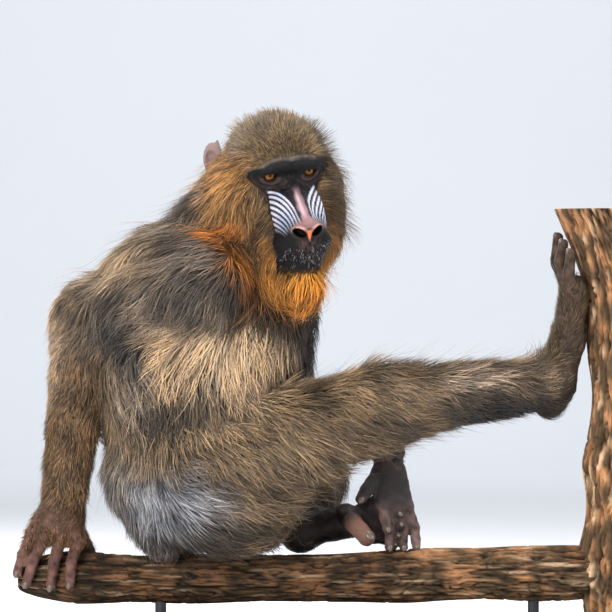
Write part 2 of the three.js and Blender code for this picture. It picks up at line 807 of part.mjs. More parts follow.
// The flesh of every node, parted from its neighbours by thin cuts.
function partFlesh(clear) {
  const nodes = new Map();
  const cells = [];
  FLESH.forEach((part, rank) => {
    const [step, flat, partStep] = skinSteps(part);
    const [low, high] = boxOf(part, 14);
    const limbs = massesNear(low, high);
    const outer = [sub(low, [9, 9, 9]), add(high, [9, 9, 9])];
    let flesh = surface(outer[0], outer[1], step, (p) => fleshDistance(limbs, p), true);
    flesh = thinned(flesh, flat);
    const cell = thinned(surface(low, high, partStep, (p) => parting(limbs, rank, p), false), PART_FLAT);
    let node = flesh.intersect(cell);
    for (const earlier of cells) node = node.subtract(earlier);
    for (const thing of clear) node = node.subtract(thing);
    nodes.set(part, largest(node));
    cells.push(cell.add(grown(cell, SEAM)));
  });
  return nodes;
}

// A closed tube of oval rings; each station has a centre, two half axes as vectors.
function tube(stations, sides) {
  const vertices = [];
  const triangles = [];
  stations.forEach(({ at, wide, deep }) => {
    for (let s = 0; s < sides; s += 1) {
      const angle = (2 * Math.PI * s) / sides;
      const across = times(wide, Math.cos(angle));
      vertices.push(add(at, add(across, times(deep, Math.sin(angle)))));
    }
  });
  for (let r = 0; r + 1 < stations.length; r += 1) {
    for (let s = 0; s < sides; s += 1) {
      const a = r * sides + s;
      const b = r * sides + ((s + 1) % sides);
      triangles.push([a, b, b + sides], [a, b + sides, a + sides]);
    }
  }
  const first = vertices.length;
  vertices.push(stations[0].at);
  vertices.push(stations[stations.length - 1].at);
  const top = (stations.length - 1) * sides;
  for (let s = 0; s < sides; s += 1) {
    const next = (s + 1) % sides;
    triangles.push([first, next, s], [first + 1, top + s, top + next]);
  }
  const made = closedSolid(vertices, triangles);
  return made.volume() > 0 ? made : closedSolid(vertices, triangles.map((t) => t.toReversed()));
}

// A small egg with its poles along the first axis.
function egg(at, radii, axes, sides = 12, rings = 7) {
  const stations = [];
  for (let r = 0; r <= rings; r += 1) {
    const angle = Math.PI * clamp(r / rings, 0.04, 0.96);
    const around = Math.sin(angle);
    stations.push({
      at: add(at, times(axes[0], -radii[0] * Math.cos(angle))),
      wide: times(axes[1], radii[1] * around),
      deep: times(axes[2], radii[2] * around),
    });
  }
  return tube(stations, sides);
}

// Centre and half thickness of the branch at a place along it.
function branchAt(x) {
  const t = (x - BRANCH_START) / (BRANCH_END - BRANCH_START);
  const end = clamp((x - BRANCH_START) / 60, 0, 1);
  const swell = 1 + 0.05 * Math.sin(9 * t + 1) + 0.035 * Math.sin(23 * t) + 0.1 * t * t;
  const radius = BRANCH_RADIUS * swell * (0.42 + 0.58 * Math.sqrt(end));
  const sag = 88.5 - 3 * Math.sin(Math.PI * clamp(t * 1.35, 0, 1)) + 5 * t * t;
  return { centre: [x, 1.5 * Math.sin(7 * t), sag], radius };
}

// Bark swells and hollows round and along a limb of wood.
function bark(radius, angle, run) {
  const grooves = 0.022 * Math.sin(7 * angle + run * 0.03) + 0.02 * Math.sin(4 * angle - run * 0.05);
  return radius * (1 + grooves);
}

// A limb of wood through stations of centre, radius and run, with plain sawn ends.
function wood(course, sides, across, up) {
  const vertices = [];
  const triangles = [];
  course.forEach(({ centre, radius, run }) => {
    for (let s = 0; s < sides; s += 1) {
      const angle = (2 * Math.PI * s) / sides;
      const r = bark(radius, angle, run);
      const out = add(times(across, r * Math.cos(angle)), times(up, r * Math.sin(angle)));
      vertices.push(add(centre, out));
    }
  });
  for (let c = 0; c + 1 < course.length; c += 1) {
    for (let s = 0; s < sides; s += 1) {
      const a = c * sides + s;
      const b = c * sides + ((s + 1) % sides);
      triangles.push([a, b, b + sides], [a, b + sides, a + sides]);
    }
  }
  const first = vertices.length;
  vertices.push(course[0].centre, course[course.length - 1].centre);
  const top = (course.length - 1) * sides;
  for (let s = 0; s < sides; s += 1) {
    const next = (s + 1) % sides;
    triangles.push([first, next, s], [first + 1, top + s, top + next]);
  }
  const made = closedSolid(vertices, triangles);
  return made.volume() > 0 ? made : closedSolid(vertices, triangles.map((t) => t.toReversed()));
}

// The branch and the length of trunk that it grows from, as one piece of wood.
function perch() {
  const branch = [];
  const branchStations = 17;
  for (let i = 0; i <= branchStations; i += 1) {
    const x = BRANCH_START + ((BRANCH_END - BRANCH_START) * i) / branchStations;
    branch.push({ ...branchAt(x), run: x });
  }
  const trunk = [];
  const trunkStations = 11;
  for (let i = 0; i <= trunkStations; i += 1) {
    const z = TRUNK_BOTTOM + ((TRUNK_TOP - TRUNK_BOTTOM) * i) / trunkStations;
    const lean = Math.max(0, (z - 360) / (TRUNK_TOP - 360));
    const foot = Math.exp(-(((z - 95) / 45) ** 2));
    const knot = 4 * Math.exp(-(((z - 205) / 22) ** 2));
    const waist = -3 * Math.exp(-(((z - 280) / 30) ** 2));
    const centre = [314 - 36 * lean ** 1.7 - 4 * foot, 4, z];
    trunk.push({ centre, radius: TRUNK_RADIUS + 7 * foot + knot + waist, run: z });
  }
  const along = wood(branch, 13, [0, 1, 0], [0, 0, 1]);
  return along.add(wood(trunk, 14, [1, 0, 0], [0, 1, 0]));
}

// Where a ray leaves the flesh, between two distances from its start.
function exitAt(skin, from, way, near, far) {
  let inside = near;
  let outside = far;
  for (let turn = 0; turn < 18; turn += 1) {
    const middle = (inside + outside) / 2;
    if (skin(add(from, times(way, middle))) < 0) inside = middle;
    else outside = middle;
  }
  return add(from, times(way, inside));
}

// A point on the muzzle's side: how far along it, and how far round from its top.
function muzzlePoint(skin, run, turn, side) {
  const core = mix(headPoint(...MUZZLE_BACK), headPoint(...MUZZLE_FRONT), run);
  const angle = radians(turn);
  const outward = times(BRIDGE[1], side * Math.sin(angle));
  const way = add(outward, times(BRIDGE[2], Math.cos(angle)));
  return { at: exitAt(skin, core, way, 2, 45), way };
}

// Ridges along each side of the muzzle, from the eye's inner corner to the nostril.
function muzzleRidges(skin) {
  const ridges = [];
  const stationCount = 8;
  const span = ([from, to], t) => from + (to - from) * t;
  for (const side of [-1, 1]) {
    for (let r = 0; r < RIDGE_COUNT; r += 1) {
      const t = r / (RIDGE_COUNT - 1);
      const points = [];
      for (let s = 0; s < stationCount; s += 1) {
        const back = 1 - s / (stationCount - 1);
        const front = span(RIDGE_TURN_FRONT, t);
        const bent = back ** span(RIDGE_BEND, t);
        const turn = front + (span(RIDGE_TURN_BACK, t) - front) * bent;
        const place = span([span(RIDGE_RUN_FRONT, t), span(RIDGE_RUN_BACK, t)], back);
        points.push(muzzlePoint(skin, place, turn, side));
      }
      ridges.push(tube(points.map(({ at, way }, s) => {
        const next = points[Math.min(s + 1, stationCount - 1)].at;
        const ahead = unit(sub(next, points[Math.max(s - 1, 0)].at));
        const thick = 0.35 + 0.65 * Math.sin((Math.PI * (s + 0.7)) / (stationCount + 0.4));
        return {
          at: add(at, times(way, 0.3 * RIDGE_HEIGHT)),
          wide: times(unit(cross(way, ahead)), RIDGE_WIDTH * thick * (1 - 0.05 * s)),
          deep: times(way, RIDGE_HEIGHT * thick),
        };
      }), 5));
    }
  }
  return ridges;
}

// The line between the lips, as a thin curved blade sunk into the muzzle.
function mouthCut(skin) {
  const stations = [];
  const stationCount = 12;
  for (let s = 0; s <= stationCount; s += 1) {
    const swing = radians(-118 + (236 * s) / stationCount);
    const a = 68 + 40 * Math.cos(swing * 0.86);
    const b = 27 * Math.sin(swing * 0.86);
    const c = -69 + 5 * (1 - Math.cos(swing * 0.86));
    const at = settled(headPoint(a, b, c), skin, 16, 0.5);
    const out = unit(slope(skin, at));
    const edge = Math.sin((Math.PI * (s + 0.6)) / (stationCount + 1.2));
    stations.push({ at, wide: times(out, 5.5 * edge + 1), deep: times(HEAD[2], 0.9) });
  }
  return tube(stations, 4);
}

// Face details cut and set in the skull: nostrils, mouth, lids and ridges.
function faced(head) {
  const [low, high] = boxOf('head', 14);
  const limbs = massesNear(low, high);
  const skin = (p) => fleshDistance(limbs, p);
  let face = Manifold.union([head, ...muzzleRidges(skin)]);
  face = face.subtract(mouthCut(skin));
  for (const side of [-1, 1]) {
    const nostril = headPoint(109, side * 9.6, -41);
    face = face.subtract(egg(nostril, [8, 7.4, 4.6], HEAD, 10, 5));
    const [a, b, c] = EYE_AT;
    const socket = egg(headPoint(a, side * b, c), Array(3).fill(EYE_RADIUS + SEAM), HEAD, 12, 7);
    face = face.subtract(socket);
    face = face.subtract(egg(headPoint(a + 12, side * b, c + 1), [11, 8.8, 4.8], HEAD, 12, 5));
  }
  return face;
}

function eye(side) {
  const [a, b, c] = EYE_AT;
  return egg(headPoint(a, side * b, c), Array(3).fill(EYE_RADIUS), HEAD, 12, 7);
}

// A pointed ear with a hollow cup that opens forward and out.
function ear(side, besides) {
  const [a, b, c] = EAR_AT;
  const at = headPoint(a, side * b, c);
  const splay = radians(38);
  const out = add(times(HEAD[1], side * Math.cos(splay)), times(HEAD[0], Math.sin(splay)));
  const axes = [cross(HEAD[2], out), out, HEAD[2]];
  let shell = egg(at, EAR_HALF, axes, 14, 8);
  const tip = add(at, add(times(HEAD[2], EAR_HALF[2] + 3), times(axes[0], -side * 5)));
  const root = add(at, times(HEAD[2], EAR_HALF[2] * 0.3));
  shell = shell.add(tube([
    { at: root, wide: times(axes[0], 9), deep: times(out, 3.6) },
    { at: mix(root, tip, 0.6), wide: times(axes[0], 5.5), deep: times(out, 2.4) },
    { at: tip, wide: times(axes[0], 0.8), deep: times(out, 0.8) },
  ], 8));
  const cup = add(at, times(out, 7));
  shell = shell.subtract(egg(cup, [8.5, 7.5, 14], axes, 12, 7));
  for (const beside of besides) shell = shell.subtract(grown(beside, SEAM));
  return largest(shell);
}

// A flat plate with round corners and a small bevel on its upper edge.
function standBase() {
  const outline = (inset) => {
    const shape = new THREE.Shape();
    const x = BASE_LENGTH / 2 - inset;
    const y = BASE_WIDTH / 2 - inset;
    const r = BASE_CORNER - inset;
    shape.absarc(x - r, y - r, r, 0, Math.PI / 2);
    shape.absarc(-x + r, y - r, r, Math.PI / 2, Math.PI);
    shape.absarc(-x + r, -y + r, r, Math.PI, 1.5 * Math.PI);
    shape.absarc(x - r, -y + r, r, 1.5 * Math.PI, 2 * Math.PI);
    return shape.extractPoints(3).shape;
  };
  const layers = [[0, 0], [0, BASE_HEIGHT - BASE_BEVEL], [BASE_BEVEL, BASE_HEIGHT]];
  const rings = layers.map(([inset, z]) => outline(inset).map((p) => [p.x, p.y, z]));
  return lofted(rings);
}

// A closed solid through rings of equal count, its end rings convex and flat.
function lofted(rings) {
  const distinct = rings.map((ring) => ring.filter((p, i) => (
    size(sub(p, ring[(i + 1) % ring.length])) > 1e-6)));
  const sides = distinct[0].length;
  const vertices = distinct.flat();
  const triangles = [];
  for (let r = 0; r + 1 < distinct.length; r += 1) {
    for (let s = 0; s < sides; s += 1) {
      const a = r * sides + s;
      const b = r * sides + ((s + 1) % sides);
      triangles.push([a, b, b + sides], [a, b + sides, a + sides]);
    }
  }
  const top = (distinct.length - 1) * sides;
  for (let s = 1; s + 1 < sides; s += 1) {
    triangles.push([0, s + 1, s], [top, top + s, top + s + 1]);
  }
  return closedSolid(vertices, triangles);
}

// A rod from the base's top up to the underside of the branch.
function standRod(x, wood3) {
  const rod = tube([
    { at: [x, 0, BASE_HEIGHT + SEAM], wide: [ROD_RADIUS, 0, 0], deep: [0, ROD_RADIUS, 0] },
    { at: [x, 0, branchAt(x).centre[2]], wide: [ROD_RADIUS, 0, 0], deep: [0, ROD_RADIUS, 0] },
  ], 20);
  return largest(rod.subtract(wood3));
}

// Height above the middle of the skull where the crown begins.
const CROWN_LEVEL = 25;

// Where the coat of a node lies in tufts: spacing, length, half width and lift of its locks.
const COATS = {
  beard: { spacing: 27, long: 42, wide: 11, lift: 9, hang: 0.8 },
  head: { spacing: 37, long: 42, wide: 13, lift: 9, hang: 0.25 },
  crown: { spacing: 37, long: 40, wide: 13, lift: 5, hang: 0.1 },
  neck: { spacing: 60, long: 64, wide: 19, lift: 11, hang: 0.2 },
  chest: { spacing: 64, long: 68, wide: 20, lift: 11, hang: 0.2 },
  belly: { spacing: 62, long: 64, wide: 19, lift: 11, hang: 0.4 },
  rump: { spacing: 66, long: 58, wide: 18, lift: 9, hang: 0.3 },
  tail: { spacing: 34, long: 30, wide: 8, lift: 6, hang: 0.2 },
  arm_upper: { spacing: 64, long: 64, wide: 17, lift: 8, hang: 0.3 },
  arm_fore: { spacing: 64, long: 56, wide: 12, lift: 6, hang: 0.4 },
  thigh: { spacing: 74, long: 66, wide: 19, lift: 8, hang: 0.5 },
  shank: { spacing: 66, long: 52, wide: 13, lift: 7, hang: 0.3 },
};

// The coordinates of a point ahead of, left of and above the middle of the skull.
function inHead(p) {
  const from = sub(p, SKULL);
  return HEAD.map((axis) => dot(from, axis));
}

// The way the coat lies on a node near a point, before it is laid along the skin.
function lieOf(name, p) {
  const down = [0, 0, -1];
  const back = times(TORSO[0], -1);
  const limbs = {
    arm_upper_right: [SHOULDER_RIGHT, ELBOW_RIGHT],
    arm_upper_left: [SHOULDER_LEFT, ELBOW_LEFT],
    arm_fore_right: [ELBOW_RIGHT, WRIST_RIGHT],
    arm_fore_left: [ELBOW_LEFT, WRIST_LEFT],
    thigh_right: [HIP_RIGHT, KNEE_RIGHT],
    thigh_left: [HIP_LEFT, KNEE_LEFT],
    shank_right: [KNEE_RIGHT, ANKLE_RIGHT],
    shank_left: [KNEE_LEFT, ANKLE_LEFT],
  };
  if (limbs[name]) return add(unit(sub(limbs[name][1], limbs[name][0])), times(down, 0.55));
  if (name === 'beard') return add(down, times(HEAD[0], 0.12));
  if (name === 'tail') return [-0.9, 0.5, 0.1];
  if (name !== 'head') return add(down, times(back, name === 'neck' ? 0.7 : 0.25));
  const [ahead, left, up] = inHead(p);
  if (up > CROWN_LEVEL) {
    return add(times(HEAD[0], -1), times(HEAD[2], 0.5 - 0.012 * Math.max(0, 20 - ahead)));
  }
  const outward = times(HEAD[1], Math.sign(left) * 0.75);
  return add(outward, add(times(HEAD[0], -0.6), times(HEAD[2], -0.65)));
}

// Whether a lock may root at a point: not on the bare face, nor where the coat is short.
function isCoated(name, p) {
  if (name !== 'head') return true;
  const [ahead, left, up] = inHead(p);
  if (up > 32) return ahead < 34;
  return Math.abs(left) > 33 && ahead < 38 && up < 8;
}

// One flat lock: it leaves the skin at its root, follows the coat's lie and ends in a thin tip.
function lock(field, root, way, coat) {
  const sink = 6;
  const steps = 3;
  const profile = [0.85, 1, 0.72, 0.08];
  const stations = [];
  let at = root;
  for (let s = 0; s <= steps; s += 1) {
    const run = s / steps;
    const level = -sink + (coat.lift + sink) * run ** 0.75;
    const out = unit(slope(field, at));
    const along = unit(sub(way, times(out, dot(way, out))));
    if (s > 0) {
      const free = add(at, times(along, coat.long / steps));
      const laid = settled(free, field, 40, level);
      at = mix(laid, add(free, [0, 0, -2 * s]), coat.hang * run * run);
    } else {
      at = settled(at, field, 40, level);
    }
    const side = unit(cross(along, out));
    stations.push({
      at,
      wide: times(side, coat.wide * profile[s]),
      deep: times(out, coat.wide * 0.42 * profile[s]),
    });
  }
  return tube(stations, 4);
}

// Roots thrown over a node's skin, none nearer to another than the spacing.
function rootsOn(solid, field, spacing, seed, allowed) {
  const { points, triangles } = welded(solid);
  const random = draw(seed);
  const areas = triangles.map((face) => size(facing(points, face)));
  const total = areas.reduce((a, b) => a + b, 0);
  const roots = [];
  const throws = 600;
  for (let k = 0; k < throws; k += 1) {
    let left = random() * total;
    let f = 0;
    while (f < triangles.length - 1 && left > areas[f]) {
      left -= areas[f];
      f += 1;
    }
    const [a, b, c] = triangles[f].map((i) => points[i]);
    const u = Math.sqrt(random());
    const p = add(times(a, 1 - u), mix(times(b, u), times(c, u), random()));
    const near = roots.some((q) => size(sub(p, q)) < spacing);
    if (!near && Math.abs(field(p)) < 2 && allowed(p)) roots.push(p);
  }
  return roots;
}

// Nodes with their coats of locks, each clear of the other nodes.
function coated(nodes) {
  const done = new Map();
  [...nodes].forEach(([name, core], seed) => {
    const kind = name.replace(/_(right|left)$/, '');
    if (!COATS[kind]) {
      done.set(name, core);
      return;
    }
    const coat = COATS[kind];
    const [low, high] = boxOf(name, 60);
    const limbs = massesNear(low, high);
    const field = (p) => fleshDistance(limbs, p);
    const roots = rootsOn(core, field, coat.spacing, seed + 1, (p) => isCoated(name, p));
    const tufts = roots.map((root) => {
      const own = name === 'head' && inHead(root)[2] > CROWN_LEVEL ? COATS.crown : coat;
      return lock(field, root, lieOf(name, root), own);
    });
    let locks = thinned(Manifold.union(tufts), LOCK_FLAT);
    for (const [other, solid] of nodes) {
      if (other === name) continue;
      const beside = done.get(other) ?? solid;
      if (locks.intersect(beside).isEmpty()) continue;
      locks = locks.subtract(beside.add(grown(beside, SEAM)));
    }
    done.set(name, largest(core.add(locks)));
  });
  return done;
}

const FINISHES = {
  fur_olive: { color: 0x6b5d44, roughness: 0.9 },
  fur_dark: { color: 0x4b4640, roughness: 0.9 },
  fur_pale: { color: 0xa8977a, roughness: 0.9 },
  fur_grey: { color: 0x7b7a78, roughness: 0.9 },
  fur_orange: { color: 0xd0861e, roughness: 0.9 },
  skin_dark: { color: 0x4f4340, roughness: 0.65 },
  skin_pink: { color: 0xa57f78, roughness: 0.6 },
  eye_amber: { color: 0x8a4a16, roughness: 0.1 },
  bark: { color: 0x6e5138, roughness: 0.95 },
  stand_metal: { color: 0x2d2f31, roughness: 0.5, metalness: 0.6 },
};

const DRESS = {
  head: 'fur_olive', beard: 'fur_orange', neck: 'fur_dark', chest: 'fur_dark',
  belly: 'fur_pale', rump: 'fur_grey', tail: 'fur_grey',
  callosity_right: 'skin_pink', callosity_left: 'skin_pink',
  ear_right: 'skin_pink', ear_left: 'skin_pink', eye_right: 'eye_amber', eye_left: 'eye_amber',
  arm_upper_right: 'fur_olive', arm_upper_left: 'fur_dark',
  arm_fore_right: 'fur_olive', arm_fore_left: 'fur_olive',
  hand_right: 'skin_dark', hand_left: 'skin_dark',
  thigh_right: 'fur_olive', thigh_left: 'fur_olive',
  shank_right: 'fur_olive', shank_left: 'fur_olive',
  foot_right: 'skin_dark', foot_left: 'skin_dark',
  perch_branch: 'bark',
  stand_base: 'stand_metal', stand_rod_left: 'stand_metal', stand_rod_right: 'stand_metal',
};

// A solid as a three.js mesh with its node's name and finish.
function meshOf(name, solid) {
  const { vertProperties, triVerts, numProp, numVert } = solid.getMesh();
  const positions = new Float32Array(numVert * 3);
  for (let i = 0; i < numVert; i += 1) {
    for (let c = 0; c < 3; c += 1) positions[3 * i + c] = vertProperties[numProp * i + c];
  }
  const geometry = new THREE.BufferGeometry();
  geometry.setAttribute('position', new THREE.BufferAttribute(positions, 3));
  geometry.setIndex(new THREE.BufferAttribute(triVerts.slice(), 1));
  geometry.computeVertexNormals();
  const mesh = new THREE.Mesh(geometry, new THREE.MeshStandardMaterial(FINISHES[DRESS[name]]));
  mesh.name = name;
  return mesh;
}

function mandrill() {
  const woodPiece = perch();
  const woodRoom = grown(woodPiece, SEAM);
  const nodes = partFlesh([woodRoom]);
  const head = largest(faced(nodes.get('head')));
  nodes.set('head', head);
  nodes.set('eye_right', eye(-1));
  nodes.set('eye_left', eye(1));
  const besideEars = [head, nodes.get('neck')];
  nodes.set('ear_right', ear(-1, besideEars));
  nodes.set('ear_left', ear(1, besideEars));
  nodes.set('perch_branch', woodPiece);
  nodes.set('stand_base', standBase());
  nodes.set('stand_rod_left', standRod(ROD_PLACES.left, woodRoom));
  nodes.set('stand_rod_right', standRod(ROD_PLACES.right, woodRoom));
  const group = new THREE.Group();
  group.name = 'mandrill';
  for (const [name, solid] of cleared(coated(nodes))) group.add(meshOf(name, solid));
  return group;
}

export default mandrill();
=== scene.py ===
"""The looks of a life-size mandrill that sits on a cut perch, on a plain display stand.

The figure is one smooth body of flesh, given by egg-shaped and tapered masses. The bare skin, the
coat and the perch are meshed here over those masses. Lengths are in millimetres of the row frame
(+X toward the trunk, +Y away from the viewer, +Z up) and become metres when a mesh is made.
"""

from __future__ import annotations

import logging
import math
from dataclasses import dataclass, field
from enum import Enum
from functools import cache
from typing import Callable, Sequence

import bpy
import numpy as np
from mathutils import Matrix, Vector
from mathutils.kdtree import KDTree


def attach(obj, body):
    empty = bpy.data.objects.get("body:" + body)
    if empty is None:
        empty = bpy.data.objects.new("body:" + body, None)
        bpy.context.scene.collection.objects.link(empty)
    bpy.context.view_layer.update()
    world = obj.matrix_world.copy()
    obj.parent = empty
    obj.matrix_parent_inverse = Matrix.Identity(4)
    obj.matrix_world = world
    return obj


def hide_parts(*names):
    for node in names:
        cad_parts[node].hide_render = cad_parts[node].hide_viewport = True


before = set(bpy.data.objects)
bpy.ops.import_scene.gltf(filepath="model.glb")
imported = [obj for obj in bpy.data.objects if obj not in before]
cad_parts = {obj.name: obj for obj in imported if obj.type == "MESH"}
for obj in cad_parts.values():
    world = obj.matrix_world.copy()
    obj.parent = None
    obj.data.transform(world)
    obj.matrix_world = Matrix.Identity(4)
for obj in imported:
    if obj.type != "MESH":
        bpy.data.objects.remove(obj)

Array = np.ndarray
Triple = tuple[float, float, float]
Socket = bpy.types.NodeSocket
Piece = bpy.types.Object
log = logging.getLogger("mandrill")

MM = 0.001
FAR = 1.0e3
BODY = "root"
DIGIT_BLEND = 2.0


class Part(Enum):
    """A named part of the body; its value is the name of the solid that it stands for."""

    HEAD = "head"
    BEARD = "beard"
    NECK = "neck"
    CHEST = "chest"
    BELLY = "belly"
    RUMP = "rump"
    TAIL = "tail"
    CALLOSITY_RIGHT = "callosity_right"
    CALLOSITY_LEFT = "callosity_left"
    ARM_UPPER_RIGHT = "arm_upper_right"
    ARM_UPPER_LEFT = "arm_upper_left"
    ARM_FORE_RIGHT = "arm_fore_right"
    ARM_FORE_LEFT = "arm_fore_left"
    HAND_RIGHT = "hand_right"
    HAND_LEFT = "hand_left"
    THIGH_RIGHT = "thigh_right"
    THIGH_LEFT = "thigh_left"
    SHANK_RIGHT = "shank_right"
    SHANK_LEFT = "shank_left"
    FOOT_RIGHT = "foot_right"
    FOOT_LEFT = "foot_left"


Weights = dict[Part, Array]

def unit(v: Array) -> Array:
    """Vectors scaled to length one along the last axis."""
    v = np.asarray(v, float)
    return v / np.maximum(np.linalg.norm(v, axis=-1, keepdims=True), 1e-9)


def ease(x: Array, low: float, high: float) -> Array:
    """A soft switch from 0 at `low` to 1 at `high`."""
    t = np.clip((np.asarray(x, float) - low) / (high - low), 0.0, 1.0)
    return t * t * (3.0 - 2.0 * t)


def fall(x: Array, low: float, high: float) -> Array:
    """A soft switch from 1 at `low` to 0 at `high`."""
    return 1.0 - ease(x, low, high)


def hump(x: Array, middle: Array | float, width: float) -> Array:
    """A soft bell that is 1 at its middle."""
    return np.exp(-(((x - middle) / width) ** 2))


def over(base: Array, amount: Array, tone: Triple) -> Array:
    """Colours with a tone laid over them by an amount."""
    return base + amount[:, None] * (np.array(tone) - base)


def lattice(low: Array, step: float, counts: Sequence[int]) -> Array:
    """The points of a grid."""
    lines = [low[i] + step * np.arange(counts[i]) for i in range(3)]
    return np.stack(np.meshgrid(*lines, indexing="ij"), -1)


def joined(a: Array, b: Array, blend: Array | float) -> Array:
    """Two distance fields melted into one another over `blend` millimetres.

    Args:
        a: The first field.
        b: The second field.
        blend: How far two fields melt together.

    Returns:
        One distance for each point.
    """
    blend = np.maximum(blend, 1e-6)
    near = np.maximum(blend - np.abs(a - b), 0.0)
    return np.minimum(a, b) - near * near / (4.0 * blend)


def ripple(p: Array, pitch: float, seed: int = 0) -> Array:
    """A smooth, repeatable noise in space, about -1 to 1, made of a few slanted waves.

    Args:
        p: Points, in millimetres.
        pitch: The usual distance between two crests.
        seed: Which set of waves to use.

    Returns:
        One value for each point.
    """
    rng = np.random.default_rng(seed + 17)
    value = np.zeros(p.shape[:-1])
    for _ in range(6):
        way = unit(rng.normal(size=3))
        length = pitch * rng.uniform(0.6, 1.7)
        value += np.sin(p @ (way * 2.0 * math.pi / length) + rng.uniform(0.0, 6.28))
    return value / 3.0


@dataclass(frozen=True)
class Pose:
    """The places of the joints and the turns of head and trunk."""

    torso_turn: float = 35.0
    skull: Triple = (-69.6, -60.0, 527.0)
    head_yaw: float = 20.5
    head_pitch: float = 20.0
    head_lean: float = 8.0
    bridge_slope: float = 38.0
    muzzle_back: Triple = (50.0, 0.0, -27.0)
    muzzle_front: Triple = (97.0, 0.0, -52.0)
    shoulder_right: Triple = (-143.0, -85.0, 400.0)
    elbow_right: Triple = (-267.0, -20.0, 364.0)
    wrist_right: Triple = (-294.0, 5.0, 161.0)
    hip_right: Triple = (-135.0, -48.0, 200.0)
    knee_right: Triple = (44.0, -66.0, 272.0)
    ankle_right: Triple = (222.0, -14.0, 293.0)
    shoulder_left: Triple = (-61.0, 58.0, 390.0)
    elbow_left: Triple = (-62.0, 152.0, 262.0)
    wrist_left: Triple = (50.0, 14.0, 224.0)
    hip_left: Triple = (-145.0, 48.0, 190.0)
    knee_left: Triple = (-30.0, 205.0, 182.0)
    ankle_left: Triple = (-42.0, 24.0, 136.0)

    @staticmethod
    def turned(turn: float) -> Array:
        """Forward, left and up for a part that looks `turn` degrees off +X toward the viewer."""
        c, s = math.cos(math.radians(turn)), math.sin(math.radians(turn))
        return np.array([[c, -s, 0.0], [s, c, 0.0], [0.0, 0.0, 1.0]])

    @property
    def torso(self) -> Array:
        """Axes of the trunk."""
        return self.turned(self.torso_turn)

    @property
    def head(self) -> Array:
        """Axes of the head: ahead, left and up.

        Returns:
            Three unit vectors.
        """
        forward, left, _ = self.turned(90.0 - self.head_yaw)
        c, s = math.cos(math.radians(self.head_pitch)), math.sin(math.radians(self.head_pitch))
        ahead = forward * c + np.array([0.0, 0.0, -s])
        up = forward * s + np.array([0.0, 0.0, c])
        lean = math.radians(self.head_lean)
        return np.array([
            ahead,
            left * math.cos(lean) + up * math.sin(lean),
            left * -math.sin(lean) + up * math.cos(lean),
        ])

    @property
    def bridge(self) -> Array:
        """Axes along the bridge of the nose.

        Returns:
            Three unit vectors.
        """
        head = self.head
        c, s = math.cos(math.radians(self.bridge_slope)), math.sin(math.radians(self.bridge_slope))
        along = head[0] * c - head[2] * s
        return np.array([along, head[1], np.cross(along, head[1])])

    def head_point(self, ahead: float, left: float, up: float) -> Array:
        """A point given from the middle of the skull, in the row frame."""
        return np.array(self.skull) + np.array([ahead, left, up]) @ self.head

    def in_head(self, p: Array) -> Array:
        """Points as ahead, left and up of the middle of the skull."""
        return (p - np.array(self.skull)) @ self.head.T

    def along_muzzle(self, p: Array) -> tuple[Array, Array]:
        """Places along the muzzle's core, 0 to 1, and turns round it in degrees.

        Args:
            p: Points in the row frame.

        Returns:
            One place and one turn for each point.
        """
        back = self.head_point(*self.muzzle_back)
        core = self.head_point(*self.muzzle_front) - back
        run = (p - back) @ core / float(core @ core)
        bridge = self.bridge
        off = p - back - run[:, None] * core
        return run, np.degrees(np.arctan2(np.abs(off @ bridge[1]), off @ bridge[2]))


@dataclass(frozen=True)
class Ball:
    """An egg-shaped mass of flesh."""

    part: Part
    at: Array
    radii: Array
    axes: Array
    blend: float

    @property
    def reach(self) -> float:
        """The furthest that the mass extends from its middle."""
        return float(self.radii.max())

    def distance(self, p: Array) -> Array:
        """Signed distance of points from the mass, negative inside.

        Args:
            p: Points in the row frame.

        Returns:
            One distance for each point.
        """
        u = (p - self.at) @ self.axes.T / self.radii
        far = np.sqrt(((u / self.radii) ** 2).sum(-1))
        k = np.sqrt((u * u).sum(-1))
        return np.where(far < 1e-6, -self.radii.min(), k * (k - 1.0) / np.maximum(far, 1e-6))


@dataclass(frozen=True)
class Taper:
    """A rounded length of flesh that tapers from one end to the other."""

    part: Part
    start: Array
    end: Array
    start_radius: float
    end_radius: float
    blend: float

    @property
    def at(self) -> Array:
        """The middle of the length."""
        return (self.start + self.end) / 2.0

    @property
    def reach(self) -> float:
        """The furthest that the mass extends from its middle."""
        half = float(np.linalg.norm(self.end - self.start)) / 2.0
        return half + max(self.start_radius, self.end_radius)

    def distance(self, p: Array) -> Array:
        """Signed distance of points from the mass, negative inside.

        Args:
            p: Points in the row frame.

        Returns:
            One distance for each point.
        """
        run = self.end - self.start
        t = np.clip((p - self.start) @ run / float(run @ run), 0.0, 1.0)
        gap = np.linalg.norm(p - self.start - t[..., None] * run, axis=-1)
        return gap - self.start_radius - t * (self.end_radius - self.start_radius)


Mass = Ball | Taper


@dataclass(frozen=True)
class Limb:
    """Masses that melt into one another, and into the trunk only round their root joint."""

    masses: tuple[Mass, ...]
    root: Array | None = None
    reach: float = 0.0
    blend: float = 0.0

    def fade(self, p: Array) -> Array:
        """How much the limb melts into the trunk at a point, 0 to 1.

        Args:
            p: Points in the row frame.

        Returns:
            One share for each point.
        """
        if self.root is None:
            return np.zeros(p.shape[:-1])
        return np.maximum(0.0, 1.0 - np.linalg.norm(p - self.root, axis=-1) / self.reach)


